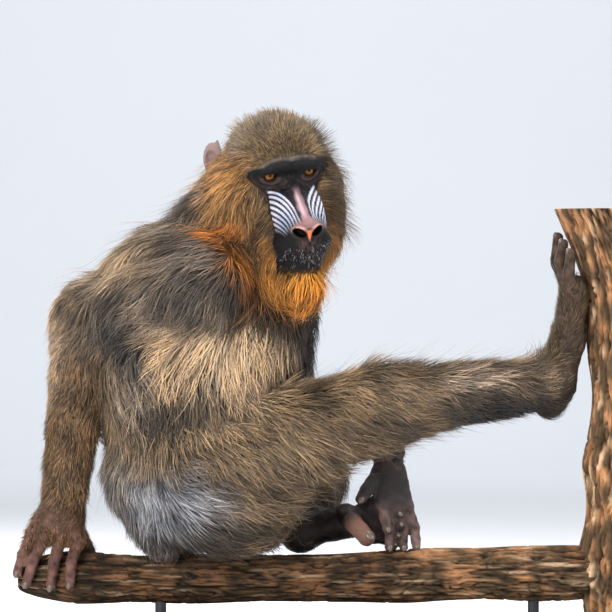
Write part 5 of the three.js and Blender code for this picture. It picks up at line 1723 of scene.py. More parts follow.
@dataclass
class Coat:
    """Fur over the skin, as thin solid tufts that follow the lie of the coat."""

    flesh: Flesh
    pose: Pose
    markings: Markings
    sampled: SampledField
    finish: FurFinish = FurFinish("fur", 0.6)
    budget: float = 1.36e6
    piece_limit: int = 190000
    patch: float = 0.003
    guard_hairs: int = 8000
    regions: tuple[Region, ...] = (
        Region("coat_crown", (Part.HEAD,), 1, "fur_olive"),
        Region("coat_ruff", (Part.HEAD,), 3, "fur_olive"),
        Region("coat_beard", (Part.BEARD,), 4, "fur_orange"),
        Region("coat_mantle", (Part.NECK, Part.CHEST), 4, "fur_dark"),
        Region("coat_belly", (Part.BELLY,), 4, "fur_pale"),
        Region("coat_rump", (Part.RUMP, Part.TAIL, Part.CALLOSITY_RIGHT, Part.CALLOSITY_LEFT),
               3, "fur_grey"),
        Region("coat_arm_right", (Part.ARM_UPPER_RIGHT, Part.ARM_FORE_RIGHT, Part.HAND_RIGHT),
               3, "fur_olive"),
        Region("coat_arm_left", (Part.ARM_UPPER_LEFT, Part.ARM_FORE_LEFT, Part.HAND_LEFT),
               3, "fur_dark"),
        Region("coat_leg_right", (Part.THIGH_RIGHT, Part.SHANK_RIGHT, Part.FOOT_RIGHT),
               3, "fur_olive"),
        Region("coat_leg_left", (Part.THIGH_LEFT, Part.SHANK_LEFT, Part.FOOT_LEFT),
               3, "fur_olive"),
    )
    kinds: dict[Part, CoatKind] = field(default_factory=lambda: {
        Part.HEAD: CoatKind(5.0, 0.8, 4.0, 0.2, 130, 0.05, 0.68),
        Part.BEARD: CoatKind(34, 1.2, 9, 8, 40, 0.55, 0.22),
        Part.NECK: CoatKind(38, 1.2, 9, 4, 24, 0.55, 0.52),
        Part.CHEST: CoatKind(44, 1.25, 10, 5, 21, 0.6, 0.54),
        Part.BELLY: CoatKind(46, 1.25, 10, 7, 21, 0.65, 0.42),
        Part.RUMP: CoatKind(27, 1.1, 7.5, 3, 25, 0.5, 0.5),
        Part.TAIL: CoatKind(22, 1.1, 7, 2, 24, 0.3, 0.3),
        Part.CALLOSITY_RIGHT: CoatKind(4, 0.8, 1.5, 0, 3, 0.0),
        Part.CALLOSITY_LEFT: CoatKind(4, 0.8, 1.5, 0, 3, 0.0),
        Part.ARM_UPPER_RIGHT: CoatKind(30, 1.1, 8, 4, 27, 0.5, 0.5),
        Part.ARM_UPPER_LEFT: CoatKind(28, 1.2, 7, 4, 20, 0.4, 0.4),
        Part.ARM_FORE_RIGHT: CoatKind(9.5, 0.85, 4.5, 1.0, 66, 0.2, 0.58),
        Part.ARM_FORE_LEFT: CoatKind(21, 1.1, 5, 4, 26, 0.3, 0.5),
        Part.HAND_RIGHT: CoatKind(7.5, 0.75, 4.2, 0, 60, 0.1, 0.55),
        Part.HAND_LEFT: CoatKind(9.5, 0.75, 4.2, 0, 34, 0.1, 0.5),
        Part.THIGH_RIGHT: CoatKind(34, 1.15, 9, 5, 25, 0.6, 0.54),
        Part.THIGH_LEFT: CoatKind(26, 1.25, 8, 4, 18, 0.35, 0.4),
        Part.SHANK_RIGHT: CoatKind(18, 1.0, 4.8, 2.5, 34, 0.4, 0.55),
        Part.SHANK_LEFT: CoatKind(17, 1.1, 5, 3, 22, 0.3, 0.4),
        Part.FOOT_RIGHT: CoatKind(9.5, 0.8, 4.4, 0, 46, 0.15, 0.5),
        Part.FOOT_LEFT: CoatKind(6.5, 0.75, 3.6, 0, 24, 0.1, 0.4),
    })

    def lie(self, p: Array, weights: Weights) -> Array:
        """The way in which the coat lies at points, before it is laid along the skin.

        Args:
            p: Points in the row frame.
            weights: How much each point belongs to each part.

        Returns:
            One vector for each point.
        """
        pose = self.pose
        down = np.array([0.0, 0.0, -1.0])
        back = -pose.torso[0]
        limbs = {
            Part.ARM_UPPER_RIGHT: (pose.shoulder_right, pose.elbow_right, 0.55),
            Part.ARM_UPPER_LEFT: (pose.shoulder_left, pose.elbow_left, 0.4),
            Part.ARM_FORE_RIGHT: (pose.elbow_right, pose.wrist_right, 0.2),
            Part.ARM_FORE_LEFT: (pose.elbow_left, pose.wrist_left, 0.5),
            Part.HAND_RIGHT: (pose.elbow_right, pose.wrist_right, 0.2),
            Part.HAND_LEFT: (pose.wrist_left, (58, 0, 150), 0.2),
            Part.THIGH_RIGHT: (pose.hip_right, pose.knee_right, 0.85),
            Part.THIGH_LEFT: (pose.hip_left, pose.knee_left, 0.6),
            Part.SHANK_RIGHT: (pose.knee_right, pose.ankle_right, 0.4),
            Part.SHANK_LEFT: (pose.knee_left, pose.ankle_left, 0.35),
            Part.FOOT_RIGHT: (pose.ankle_right, (243, -9, 345), 0.0),
            Part.FOOT_LEFT: (pose.ankle_left, (34, 10, 148), 0.0),
        }
        fixed = {
            Part.BEARD: down + 0.15 * pose.head[0],
            Part.NECK: down + 0.5 * back,
            Part.CHEST: down + 0.3 * back,
            Part.BELLY: down - 0.35 * back,
            Part.RUMP: down + 0.2 * back,
            Part.TAIL: np.array([-0.9, 0.5, 0.1]),
            Part.CALLOSITY_RIGHT: down,
            Part.CALLOSITY_LEFT: down,
        }
        for part, (start, end, hang) in limbs.items():
            fixed[part] = unit(np.array(end, float) - np.array(start, float)) + hang * down
        way = sum(weights[part][:, None] * v for part, v in fixed.items())
        ahead, left, up = pose.in_head(p).T
        crown = ease(up, 8, 30)[:, None]
        side = np.sign(left) * ease(np.abs(left), 4, 30)
        over = -pose.head[0] + 0.25 * pose.head[2] + 0.25 * side[:, None] * pose.head[1]
        cheek = -0.5 * pose.head[0] - 0.95 * pose.head[2] + 0.7 * side[:, None] * pose.head[1]
        behind = ease(-ahead, 20, 55)[:, None]
        nape = -pose.head[2] - 0.3 * pose.head[0]
        head = crown * over + (1 - crown) * cheek
        head = head * (1 - behind) + nape * behind
        return way + weights[Part.HEAD][:, None] * unit(head)

    def lengths(self, p: Array, weights: Weights) -> Array:
        """The length of the coat at points: fringes, ruff and crest stand out.

        Args:
            p: Points in the row frame.
            weights: How much each point belongs to each part.

        Returns:
            One length for each point.
        """
        length = sum(weights[part] * self.kinds[part].length for part in weights)
        ahead, left, up = self.pose.in_head(p).T
        ruff = ease(np.abs(left), 32, 58) * ease(-up, -12, 26)
        near = ease(-ahead, -46, -14)
        back = ease(-ahead, 10, 50) * ease(-up, -40, 10)
        length = length + weights[Part.HEAD] * (18.0 * ruff * near + 14.0 * back)
        length = length - weights[Part.HEAD] * 3.5 * ease(ahead, 24, 40)
        under = ease(-self.sampled.slope(p)[:, 2], 0.2, 0.8)
        fringe = (weights[Part.THIGH_RIGHT] + weights[Part.SHANK_RIGHT] * 0.6
                  + weights[Part.RUMP] * 0.8
                  + weights[Part.ARM_FORE_RIGHT] * 0.2 + weights[Part.THIGH_LEFT] * 0.5)
        over = ease(self.sampled.slope(p)[:, 2], 0.15, 0.75)
        crest = weights[Part.SHANK_RIGHT] * ease(p[:, 0], 60, 100)
        crest = crest * fall(p[:, 0], 196, 222)
        return np.maximum(length + 14.0 * under * fringe + 12.0 * over * crest, 3.0)

    def fingers(self, p: Array) -> Array:
        """How far points are out on fingers, toes and soles, where no coat grows.

        Args:
            p: Points in the row frame.

        Returns:
            One share for each point.
        """
        pose = self.pose
        bare = np.zeros(len(p))
        ends = ((pose.wrist_right, (0.0, 0.0, -1.0), 34.0, 54.0),
                (pose.wrist_left, (0.1, 0.0, -1.0), 48.0, 66.0),
                (pose.ankle_left, (0.9, -0.2, 0.1), 24.0, 50.0))
        for start, way, near, far in ends:
            off = p - np.array(start)
            close = np.linalg.norm(off, axis=1) < 130.0
            bare = np.maximum(bare, close * ease(off @ unit(np.array(way)), near, far))
        reaching = p[:, 0] > 200.0
        middle = 229.0 + 0.27 * (p[:, 2] - 294.0)
        sole = reaching * ease(p[:, 0] - np.maximum(middle, 224.0), 6.0, 13.0)
        toes = reaching * ease(p[:, 2], 388.0, 410.0)
        return np.clip(np.maximum(bare, np.maximum(sole, toes)), 0.0, 1.0)

    def unwrap(self, p: Array, weights: Weights) -> Array:
        """A place from 0 to 1 on an unwrap of the skin, each part in its own tile.

        Args:
            p: Points in the row frame.
            weights: How much each point belongs to each part.

        Returns:
            One place for each point.
        """
        order = list(weights)
        best = np.argmax([weights[part] for part in order], axis=0)
        columns = 5
        uv = np.zeros((len(p), 2))
        for number, part in enumerate(order):
            own = best == number
            masses = [m for limb in self.flesh.limbs for m in limb.masses if m.part is part]
            if not own.any() or not masses:
                continue
            q = p[own]
            centres = np.array([m.at for m in masses])
            middle = centres.mean(0)
            spread = max(float(np.linalg.norm(centres - middle, axis=1).max()), 1.0)
            size = spread + max(m.reach for m in masses)
            axis = unit(centres[-1] - centres[0]) if len(masses) > 1 else np.array([0.0, 0.0, 1.0])
            helper = np.array([0.0, 1.0, 0.0]) if abs(axis[1]) < 0.9 else np.array([1.0, 0.0, 0.0])
            first = unit(np.cross(axis, helper))
            second = np.cross(axis, first)
            u = np.clip((q - middle) @ axis / (2.0 * size) + 0.5, 0.0, 1.0)
            v = np.arctan2((q - middle) @ second, (q - middle) @ first) / (2.0 * math.pi) + 0.5
            tile = np.array([number % columns, number // columns], float)
            uv[own] = (tile + 0.04 + 0.92 * np.stack([u, v], -1)) / columns
        return uv

    def roots(self, points: Array, faces: Array, seed: int) -> Array:
        """Seeded root places on a skin, denser where the coat is finer.

        Args:
            points: The skin's points.
            faces: Its faces, each of four corners.
            seed: Seed of the draw.

        Returns:
            Root places.
        """
        rng = np.random.default_rng(seed)
        a, b, c, d = (points[faces[:, i]] for i in range(4))
        area = np.linalg.norm(np.cross(c - a, d - b), axis=1) / 2.0
        middle = (a + b + c + d) / 4.0
        weights = self.markings.weights(self.flesh, middle)
        density = sum(weights[part] * self.kinds[part].density for part in weights)
        length = self.lengths(middle, weights)
        head = weights[Part.HEAD] * ease(length, 12, 26)
        density = density * (1.0 - 0.7 * head)
        density = density * fall(self.markings.bare(middle, weights), 0.1, 0.5)
        density = density * (1.0 - self.fingers(middle))
        wanted = area * density / 100.0
        stations = self.stations_at(middle, weights)
        total = float((wanted * (6 * stations - 2)).sum())
        scale = min(1.0, self.budget / total)
        log.info("coat density scaled by %.2f", scale)
        number = np.floor(wanted * scale + rng.random(len(wanted))).astype(int)
        chosen = np.repeat(np.arange(len(faces)), number)
        s, t = rng.random((2, len(chosen), 1))
        places = (a[chosen] * (1 - s) + b[chosen] * s) * (1 - t)
        return places + (d[chosen] * (1 - s) + c[chosen] * s) * t

    def region_of(self, p: Array, weights: Weights) -> Array:
        """The number of the region that each point belongs to.

        Args:
            p: Points in the row frame.
            weights: How much each point belongs to each part.

        Returns:
            One number for each point.
        """
        shares = []
        short = self.lengths(p, weights) < 12.0
        for region in self.regions:
            share = sum(weights[part] for part in region.parts)
            if region.name in ("coat_crown", "coat_ruff"):
                share = share * (short == (region.name == "coat_crown"))
            shares.append(share)
        return np.argmax(shares, axis=0)

    def stations_at(self, p: Array, weights: Weights) -> Array:
        """Stations along a tuft at points."""
        return np.array([region.stations for region in self.regions])[self.region_of(p, weights)]

    def clumps(self, roots: Array, every: int, rng: np.random.Generator) -> tuple[Array, Array]:
        """Gathers tufts round some of them.

        Args:
            roots: Root places.
            every: Tufts to a clump.
            rng: Source of the draw.

        Returns:
            For each tuft, the tuft in its clump's middle and a number drawn for the clump.
        """
        centres = rng.permutation(len(roots))[:max(len(roots) // every, 1)]
        tree = KDTree(len(centres))
        for i, c in enumerate(centres):
            tree.insert(roots[c], i)
        tree.balance()
        nearest = np.array([tree.find(r)[1] for r in roots])
        return centres[nearest], rng.normal(0.0, 1.0, len(centres))[nearest]

    def centrelines(self, roots: Array, weights: Weights, stations: int,
                    rng: np.random.Generator, middles: Array, stretch: float,
                    raised: float) -> tuple[Array, Array]:
        """The middle lines of tufts, laid along the body and drawn together in clumps.

        Args:
            roots: Where the tufts leave the skin.
            weights: How much each root belongs to each part.
            stations: Number of steps along a tuft.
            rng: Source of the variation.
            middles: For each tuft, the one that its clump gathers round.
            stretch: Factor on the tufts' lengths.
            raised: Factor on how far they stand off.

        Returns:
            Lines of points, and the outward direction at each root.
        """
        count = len(roots)
        blend = {name: sum(weights[part] * getattr(self.kinds[part], name) for part in weights)
                 for name in ("lift", "droop", "clump")}
        length = self.lengths(roots, weights) * rng.uniform(0.7, 1.25, count) * stretch
        way = self.lie(roots, weights)
        swirl = 0.42 * ripple(roots, 52.0, 5) + 0.2 * ripple(roots, 20.0, 6)
        swirl = swirl + rng.normal(0.0, 0.13, count)
        out = unit(self.sampled.slope(roots))
        flat = unit(way - (way * out).sum(-1, keepdims=True) * out)
        flat = unit(flat * np.cos(swirl)[:, None] + np.cross(out, flat) * np.sin(swirl)[:, None])
        start = self.sampled.at(roots)
        lift = blend["lift"] * rng.uniform(0.5, 1.3, count) * (1.0 + 0.35 * ripple(roots, 30.0, 9))
        top = ease(out[:, 2], 0.15, 0.75) * weights[Part.SHANK_RIGHT]
        far = weights[Part.HEAD] * ease(self.pose.in_head(roots)[:, 1], 26, 44)
        lift = lift * raised * (1.0 + 1.1 * top) * (1.0 + 0.5 * (raised - 1.0) * far)
        wave = np.minimum(length * 0.035, 1.6) * rng.normal(0.0, 1.0, count)
        line = [roots - out * 1.0]
        at = roots
        for s in range(1, stations + 1):
            run = s / stations
            at = at + flat * (length / stations)[:, None]
            here = unit(self.sampled.slope(at))
            level = start + lift * run ** 0.85
            off = np.clip(self.sampled.at(at) - level, -14.0, 14.0)
            cling = np.clip(1.0 - 0.5 * run * np.minimum(blend["droop"] / 8.0, 1.0), 0.0, 1.0)
            at = at - here * (off * np.where(off > 0, cling, 1.0))[:, None]
            at = at + np.array([0.0, 0.0, -1.0]) * (blend["droop"] * run * run / stations)[:, None]
            flat = unit(flat - (flat * here).sum(-1, keepdims=True) * here)
            bent = np.cross(here, flat) * (wave * math.sin(5.0 * run))[:, None]
            line.append(at + bent)
        line = np.stack(line, 1)
        pull = roots[middles] - roots
        pull = pull * np.minimum(1.0, 8.0 / np.maximum(np.linalg.norm(pull, axis=1), 1e-6))[:, None]
        for s in range(1, stations + 1):
            line[:, s] += pull * (blend["clump"] * (s / stations) ** 1.2)[:, None]
        return line, out

    def tufts(self, name: str, roots: Array, stations: int, seed: int, slender: float = 1.0,
              stretch: float = 1.0, raised: float = 1.0) -> Piece:
        """A piece of coat made of tapered, three-sided tufts.

        Args:
            name: The piece's name.
            roots: Where its tufts leave the skin.
            stations: Number of steps along a tuft.
            seed: Seed of the variation.
            slender: Factor on the tufts' widths.
            stretch: Factor on their lengths.
            raised: Factor on how far they stand off.

        Returns:
            The piece.
        """
        rng = np.random.default_rng(seed)
        weights = self.markings.weights(self.flesh, roots)
        middles, small = self.clumps(roots, 14, rng)
        _, large = self.clumps(roots, 110, rng)
        line, out = self.centrelines(roots, weights, stations, rng, middles, stretch, raised)
        count = len(roots)
        width = sum(weights[part] * self.kinds[part].width for part in weights)
        width = width * rng.uniform(0.7, 1.3, count) * slender
        rings = []
        for s in range(stations):
            ahead = unit(line[:, s + 1] - line[:, s])
            across = unit(np.cross(ahead, out))
            deep = np.cross(across, ahead)
            half = width * 0.5 * (1.0 - 0.6 * (s / stations) ** 1.5)
            ring = [line[:, s] + across * half[:, None],
                    line[:, s] + deep * (0.55 * half)[:, None],
                    line[:, s] - across * half[:, None]]
            rings.append(np.stack(ring, 1))
        points = np.concatenate([np.concatenate(rings, 1), line[:, -1:]], 1)
        per = points.shape[1]
        tri = [(0, 1, 2)]
        for s in range(stations - 1):
            for k in range(3):
                a, b = 3 * s + k, 3 * s + (k + 1) % 3
                tri += [(a, a + 3, b), (b, a + 3, b + 3)]
        last = 3 * (stations - 1)
        for k in range(3):
            tri.append((last + k, per - 1, last + (k + 1) % 3))
        corners = np.array(tri)
        faces = (np.arange(count) * per)[:, None, None] + corners
        mesh = make_mesh(name, points.reshape(-1, 3), faces.reshape(-1, 3))
        tone = 0.72 * small + 0.5 * large
        paint(mesh, self.finish.layer, self.tones(roots, weights, stations, tone, rng))
        uv = self.unwrap(roots, weights)
        along = np.concatenate([np.repeat(np.arange(stations) / stations, 3), [1.0]])
        side = np.array([0.0, 0.5, 1.0] * stations + [0.5])
        own = np.stack([side, along], -1) * self.patch
        layer = mesh.uv_layers.new(name="OFBake")
        corner_uv = uv[:, None, None] + own[corners][None]
        layer.data.foreach_set("uv", corner_uv.astype(np.float32).ravel())
        return place(mesh, self.finish.build())

    def tones(self, roots: Array, weights: Weights, stations: int, tone: Array,
              rng: np.random.Generator) -> Array:
        """Colours along each tuft: dark root, banded length and a tip that varies.

        Args:
            roots: Where the tufts leave the skin.
            weights: How much each root belongs to each part.
            stations: Number of steps along a tuft.
            tone: A number for each tuft that its clump shares, about -1 to 1.
            rng: Source of the variation.

        Returns:
            One colour for each point of the tufts.
        """
        count = len(roots)
        contrast = sum(weights[part] * self.kinds[part].contrast for part in weights)
        short = fall(self.lengths(roots, weights), 9.0, 16.0)
        spread = (1.0 - 0.75 * short) * tone + (0.75 + 0.3 * short) * rng.normal(0.0, 1.0, count)
        light = np.clip(np.exp(contrast * spread), 0.35, 1.9)[:, None]
        colour = self.markings.coat(roots, weights) * light
        dark = (rng.random(count) < 0.2 + 0.35 * contrast)[:, None]
        warm = colour * np.array((1.5, 1.32, 1.05))
        root = colour * 0.2
        middle = colour * (0.75 + 0.35 * rng.random((count, 1)))
        tip = np.where(dark, colour * 0.35, warm)
        upper = np.where(dark, middle * 0.6, 0.5 * (middle + warm))
        shades = [root, middle, upper, 0.5 * (upper + tip)][:stations]
        layers = [np.repeat(shade[:, None], 3, axis=1) for shade in shades] + [tip[:, None]]
        colours = np.concatenate(layers, 1).reshape(-1, 3)
        return colours / np.maximum(colours.max(1, keepdims=True) / 0.88, 1.0)

    def guards(self, roots: Array) -> Piece:
        """Thin single hairs that stand off the coat and soften its outline.

        Args:
            roots: Where tufts leave the skin.

        Returns:
            The piece.
        """
        rng = np.random.default_rng(77)
        weights = self.markings.weights(self.flesh, roots)
        share = (3.2 * weights[Part.HEAD] + 1.2 * weights[Part.BEARD] + weights[Part.NECK]
                 + weights[Part.CHEST] + weights[Part.ARM_UPPER_RIGHT]
                 + weights[Part.SHANK_RIGHT] + weights[Part.THIGH_RIGHT]
                 + 0.6 * weights[Part.RUMP] + 0.5 * weights[Part.ARM_FORE_RIGHT])
        share = share + 0.02
        chosen = rng.choice(len(roots), self.guard_hairs, replace=False, p=share / share.sum())
        piece = self.tufts("coat_guard_hairs", roots[np.sort(chosen)], 3, 78, 0.42, 1.55, 2.3)
        declare(piece, "fur_dark")
        return piece

    def build(self, skin_points: Array, skin_faces: Array) -> list[Piece]:
        """The whole coat, in pieces.

        Args:
            skin_points: The skin's points.
            skin_faces: The skin's faces.

        Returns:
            The pieces.
        """
        roots = self.roots(skin_points, skin_faces, 41)
        number = self.region_of(roots, self.markings.weights(self.flesh, roots))
        pieces = []
        for index, region in enumerate(self.regions):
            own = roots[number == index]
            own = own[np.argsort(own[:, 2])]
            limit = self.piece_limit // (6 * region.stations - 2)
            chunks = np.array_split(own, max(math.ceil(len(own) / limit), 1))
            for part, chunk in enumerate(chunks):
                name = region.name if len(chunks) == 1 else f"{region.name}_{part + 1}"
                piece = self.tufts(name, chunk, region.stations, 100 + 10 * index + part)
                declare(piece, region.slot)
                pieces.append(piece)
        pieces.append(self.guards(roots))
        return pieces


@cache
def settings_tree() -> tuple[bpy.types.GeometryNodeTree, dict[str, str]]:
    """A tree that sets a small round or pointed solid on each point of a mesh.

    Returns:
        The tree, and the identifiers of its inputs by name.
    """
    tree = bpy.data.node_groups.new("set_on_points", "GeometryNodeTree")
    face = tree.interface
    face.new_socket("Geometry", in_out="INPUT", socket_type="NodeSocketGeometry")
    wanted = (("Sides", "NodeSocketInt"), ("Tip", "NodeSocketFloat"),
              ("Rounded", "NodeSocketBool"), ("Material", "NodeSocketMaterial"))
    keys = {name: face.new_socket(name, in_out="INPUT", socket_type=kind).identifier
            for name, kind in wanted}
    face.new_socket("Geometry", in_out="OUTPUT", socket_type="NodeSocketGeometry")
    nodes = Nodes(tree)
    source = nodes.add("NodeGroupInput").outputs

    def kept(name: str) -> Socket:
        """A vector stored on the points."""
        return nodes.add("GeometryNodeInputNamedAttribute", {"Name": name},
                         data_type="FLOAT_VECTOR").outputs["Attribute"]

    spike = nodes.add("GeometryNodeMeshCone", {
        "Vertices": source["Sides"], "Radius Top": source["Tip"], "Radius Bottom": 1.0,
        "Depth": 1.0}).outputs["Mesh"]
    bead = nodes.add("GeometryNodeMeshUVSphere", {
        "Segments": source["Sides"], "Rings": 8, "Radius": 1.0}).outputs["Mesh"]
    shape = nodes.add("GeometryNodeSwitch", {
        "Switch": source["Rounded"], "False": spike, "True": bead}, input_type="GEOMETRY")
    along = nodes.add("FunctionNodeAlignRotationToVector", {"Vector": kept("way")}, axis="Z")
    turned = nodes.add("FunctionNodeAlignRotationToVector", {
        "Rotation": along.outputs[0], "Vector": kept("side")}, axis="Y", pivot_axis="Z")
    set_on = nodes.add("GeometryNodeInstanceOnPoints", {
        "Points": source["Geometry"], "Instance": shape.outputs[0],
        "Rotation": turned.outputs[0], "Scale": kept("size")})
    solid = nodes.add("GeometryNodeRealizeInstances", {"Geometry": set_on.outputs[0]})
    dressed = nodes.add("GeometryNodeSetMaterial", {
        "Geometry": solid.outputs[0], "Material": source["Material"]})
    nodes.add("NodeGroupOutput", {"Geometry": dressed.outputs[0]})
    return tree, keys


@dataclass
class SetOnSkin:
    """Small solids that repeat over the skin, such as nails and bristles."""

    name: str
    finish: Finish
    slot: str
    sides: int
    tip: float
    rounded: bool

    def build(self, at: Array, way: Array, side: Array, size: Array) -> Piece:
        """The solids as one piece.

        Args:
            at: Where each one is set.
            way: Which way each one points.
            side: Which way its flat side faces.
            size: Its half sizes across and deep, and its length.

        Returns:
            The piece.
        """
        mesh = bpy.data.meshes.new(self.name + "_points")
        mesh.from_pydata([tuple(v) for v in at * MM], [], [])
        for name, values in (("way", way), ("side", side), ("size", size * MM)):
            layer = mesh.attributes.new(name, "FLOAT_VECTOR", "POINT")
            layer.data.foreach_set("vector", values.astype(np.float32).ravel())
        host = show(self.name + "_host", mesh)
        tree, keys = settings_tree()
        modifier = host.modifiers.new("set_on_points", "NODES")
        modifier.node_group = tree
        material = self.finish.build()
        for key, value in (("Sides", self.sides), ("Tip", self.tip),
                           ("Rounded", self.rounded), ("Material", material)):
            modifier[keys[key]] = value
        host.update_tag()
        made = bpy.data.meshes.new_from_object(
            host.evaluated_get(bpy.context.evaluated_depsgraph_get()))
        host.modifiers.remove(modifier)
        bpy.data.objects.remove(host)
        bpy.data.meshes.remove(mesh)
        made.name = self.name
        made.shade_smooth()
        piece = show(self.name, made)
        declare(piece, self.slot)
        return piece


@dataclass
class Nails:
    """A nail on the back of every finger and toe."""

    anatomy: Anatomy
    finish: PlainFinish = PlainFinish("nail_horn", 0.35, (0.12, 0.085, 0.066), 320.0, 0.7,
                                      (0.3, 0.0004), ("Coat Weight", 0.3))
    facing: dict[Part, Triple] = field(default_factory=lambda: {
        Part.HAND_RIGHT: (-0.2, -1.0, 0.1),
        Part.HAND_LEFT: (0.3, -1.0, 0.1),
        Part.FOOT_RIGHT: (-1.0, -0.3, 0.0),
        Part.FOOT_LEFT: (0.5, -1.0, 0.4),
    })

    def build(self) -> Piece:
        """All nails as one piece.

        Returns:
            The piece.
        """
        at, ways, sides, sizes = [], [], [], []
        for limb in self.anatomy.limbs():
            for mass in limb.masses:
                if not isinstance(mass, Taper) or mass.blend != DIGIT_BLEND:
                    continue
                way = unit(mass.end - mass.start)
                back = np.array(self.facing[mass.part])
                if mass.part is Part.HAND_RIGHT and mass.end[1] > 0.0:
                    back = np.array((0.0, 1.0, 0.0))
                if mass.part is Part.FOOT_RIGHT and mass.end[1] > 30.0:
                    back = np.array((-0.6, 0.8, 0.0))
                back = unit(back - way * (back @ way))
                r = mass.end_radius
                at.append(mass.end + back * (0.70 * r) + way * (0.20 * r))
                ways.append(way)
                sides.append(back)
                sizes.append((0.56 * r, 0.36 * r, 0.82 * r))
        piece = SetOnSkin("nails", self.finish, "skin_dark", 14, 0.0, True)
        return piece.build(*(np.array(v) for v in (at, ways, sides, sizes)))


@dataclass
class Bristles:
    """Short stiff hairs round the lips and chin, pale among dark ones."""

    pose: Pose
    pale: int = 180
    dark: int = 2200

    def build(self, points: Array, normals: Array) -> None:
        """Both kinds of bristle.

        Args:
            points: Places on the skin of the face.
            normals: The outward directions there.
        """
        rng = np.random.default_rng(91)
        ahead, left, up = self.pose.in_head(points).T
        run, _ = self.pose.along_muzzle(points)
        zone = (run > 0.9) & (up < -50.0) & (up > -96.0) & (np.abs(left) < 31.0) & (ahead > 66.0)
        lips = zone & (np.abs(left) < 24.0) & (ahead > 84.0) & (up < -56.0) & (up > -84.0)
        kinds = (("bristles_pale", self.pale, lips, PlainFinish("pale_bristle", 0.5), 5.2, 0.22),
                 ("bristles_dark", self.dark, zone,
                  PlainFinish("dark_bristle", 0.6, (0.012, 0.010, 0.011)), 3.6, 0.42))
        for name, number, where, finish, length, width in kinds:
            roots = np.flatnonzero(where)
            number = min(number, len(roots))
            own = rng.choice(roots, number, replace=False)
            turn = rng.normal(0.0, 0.35, (number, 3))
            hang = -self.pose.head[2] * 0.9 - self.pose.head[0] * 0.35
            way = unit(normals[own] * 0.4 + hang + turn)
            long = length * rng.uniform(0.6, 1.3, number)
            wide = width * rng.uniform(0.7, 1.3, number)
            size = np.stack([wide, wide, long], -1)
            SetOnSkin(name, finish, "skin_dark", 4, 0.05, False).build(
                points[own] - normals[own] * 0.4, way, normals[own], size)


@dataclass
class Eye:
    """An eyeball with a slightly raised cornea that looks at the viewer."""

    pose: Pose
    side: int
    node: str
    at: Triple = (41.0, 21.5, 2.0)
    radius: float = 9.3
    rings: int = 40
    sides: int = 48
    finish: EyeFinish = EyeFinish("wet_eye", 0.12)

    def build(self) -> Piece:
        """The eyeball, with the angle from its axis stored for the iris.

        Returns:
            The piece.
        """
        a, b, c = self.at
        centre = self.pose.head_point(a, self.side * b, c)
        look = unit(self.pose.head[0] * 1.0 + np.array([0.05, -0.1, 0.12]))
        across = unit(np.cross(look, self.pose.head[2]))
        up = np.cross(across, look)
        points, gaze = [centre + look * self.radius * 1.02], [(0.0, 0.0, 0.5)]
        for r in range(1, self.rings):
            angle = math.pi * r / self.rings
            bulge = 1.0 + 0.03 * math.exp(-((angle / 0.5) ** 2))
            for s in range(self.sides):
                turn = 2.0 * math.pi * s / self.sides
                way = math.cos(turn) * across + math.sin(turn) * up
                direction = math.cos(angle) * look + math.sin(angle) * way
                points.append(centre + direction * self.radius * bulge)
                # The third channel rises toward the top of the ball, for the eye's painted lid
                # shadow.
                shade = min(max(0.5 + 1.0 * float(direction @ up), 0.0), 1.0)
                gaze.append((angle / math.pi * 2.0, 0.5 + 0.5 * math.cos(turn), shade))
        points.append(centre - look * self.radius)
        gaze.append((1.0, 0.0, 0.0))
        faces = []
        for s in range(self.sides):
            n = (s + 1) % self.sides
            faces.append((0, 1 + s, 1 + n))
            for r in range(self.rings - 2):
                p, q = 1 + r * self.sides, 1 + (r + 1) * self.sides
                faces += [(p + s, q + s, q + n), (p + s, q + n, p + n)]
            end = 1 + (self.rings - 2) * self.sides
            faces.append((end + s, len(points) - 1, end + n))
        mesh = make_mesh(self.node.replace("eye", "eyeball"), np.array(points), np.array(faces))
        paint(mesh, self.finish.layer, np.array(gaze))
        piece = place(mesh, self.finish.build())
        declare(piece, "eye_amber", self.node)
        return piece


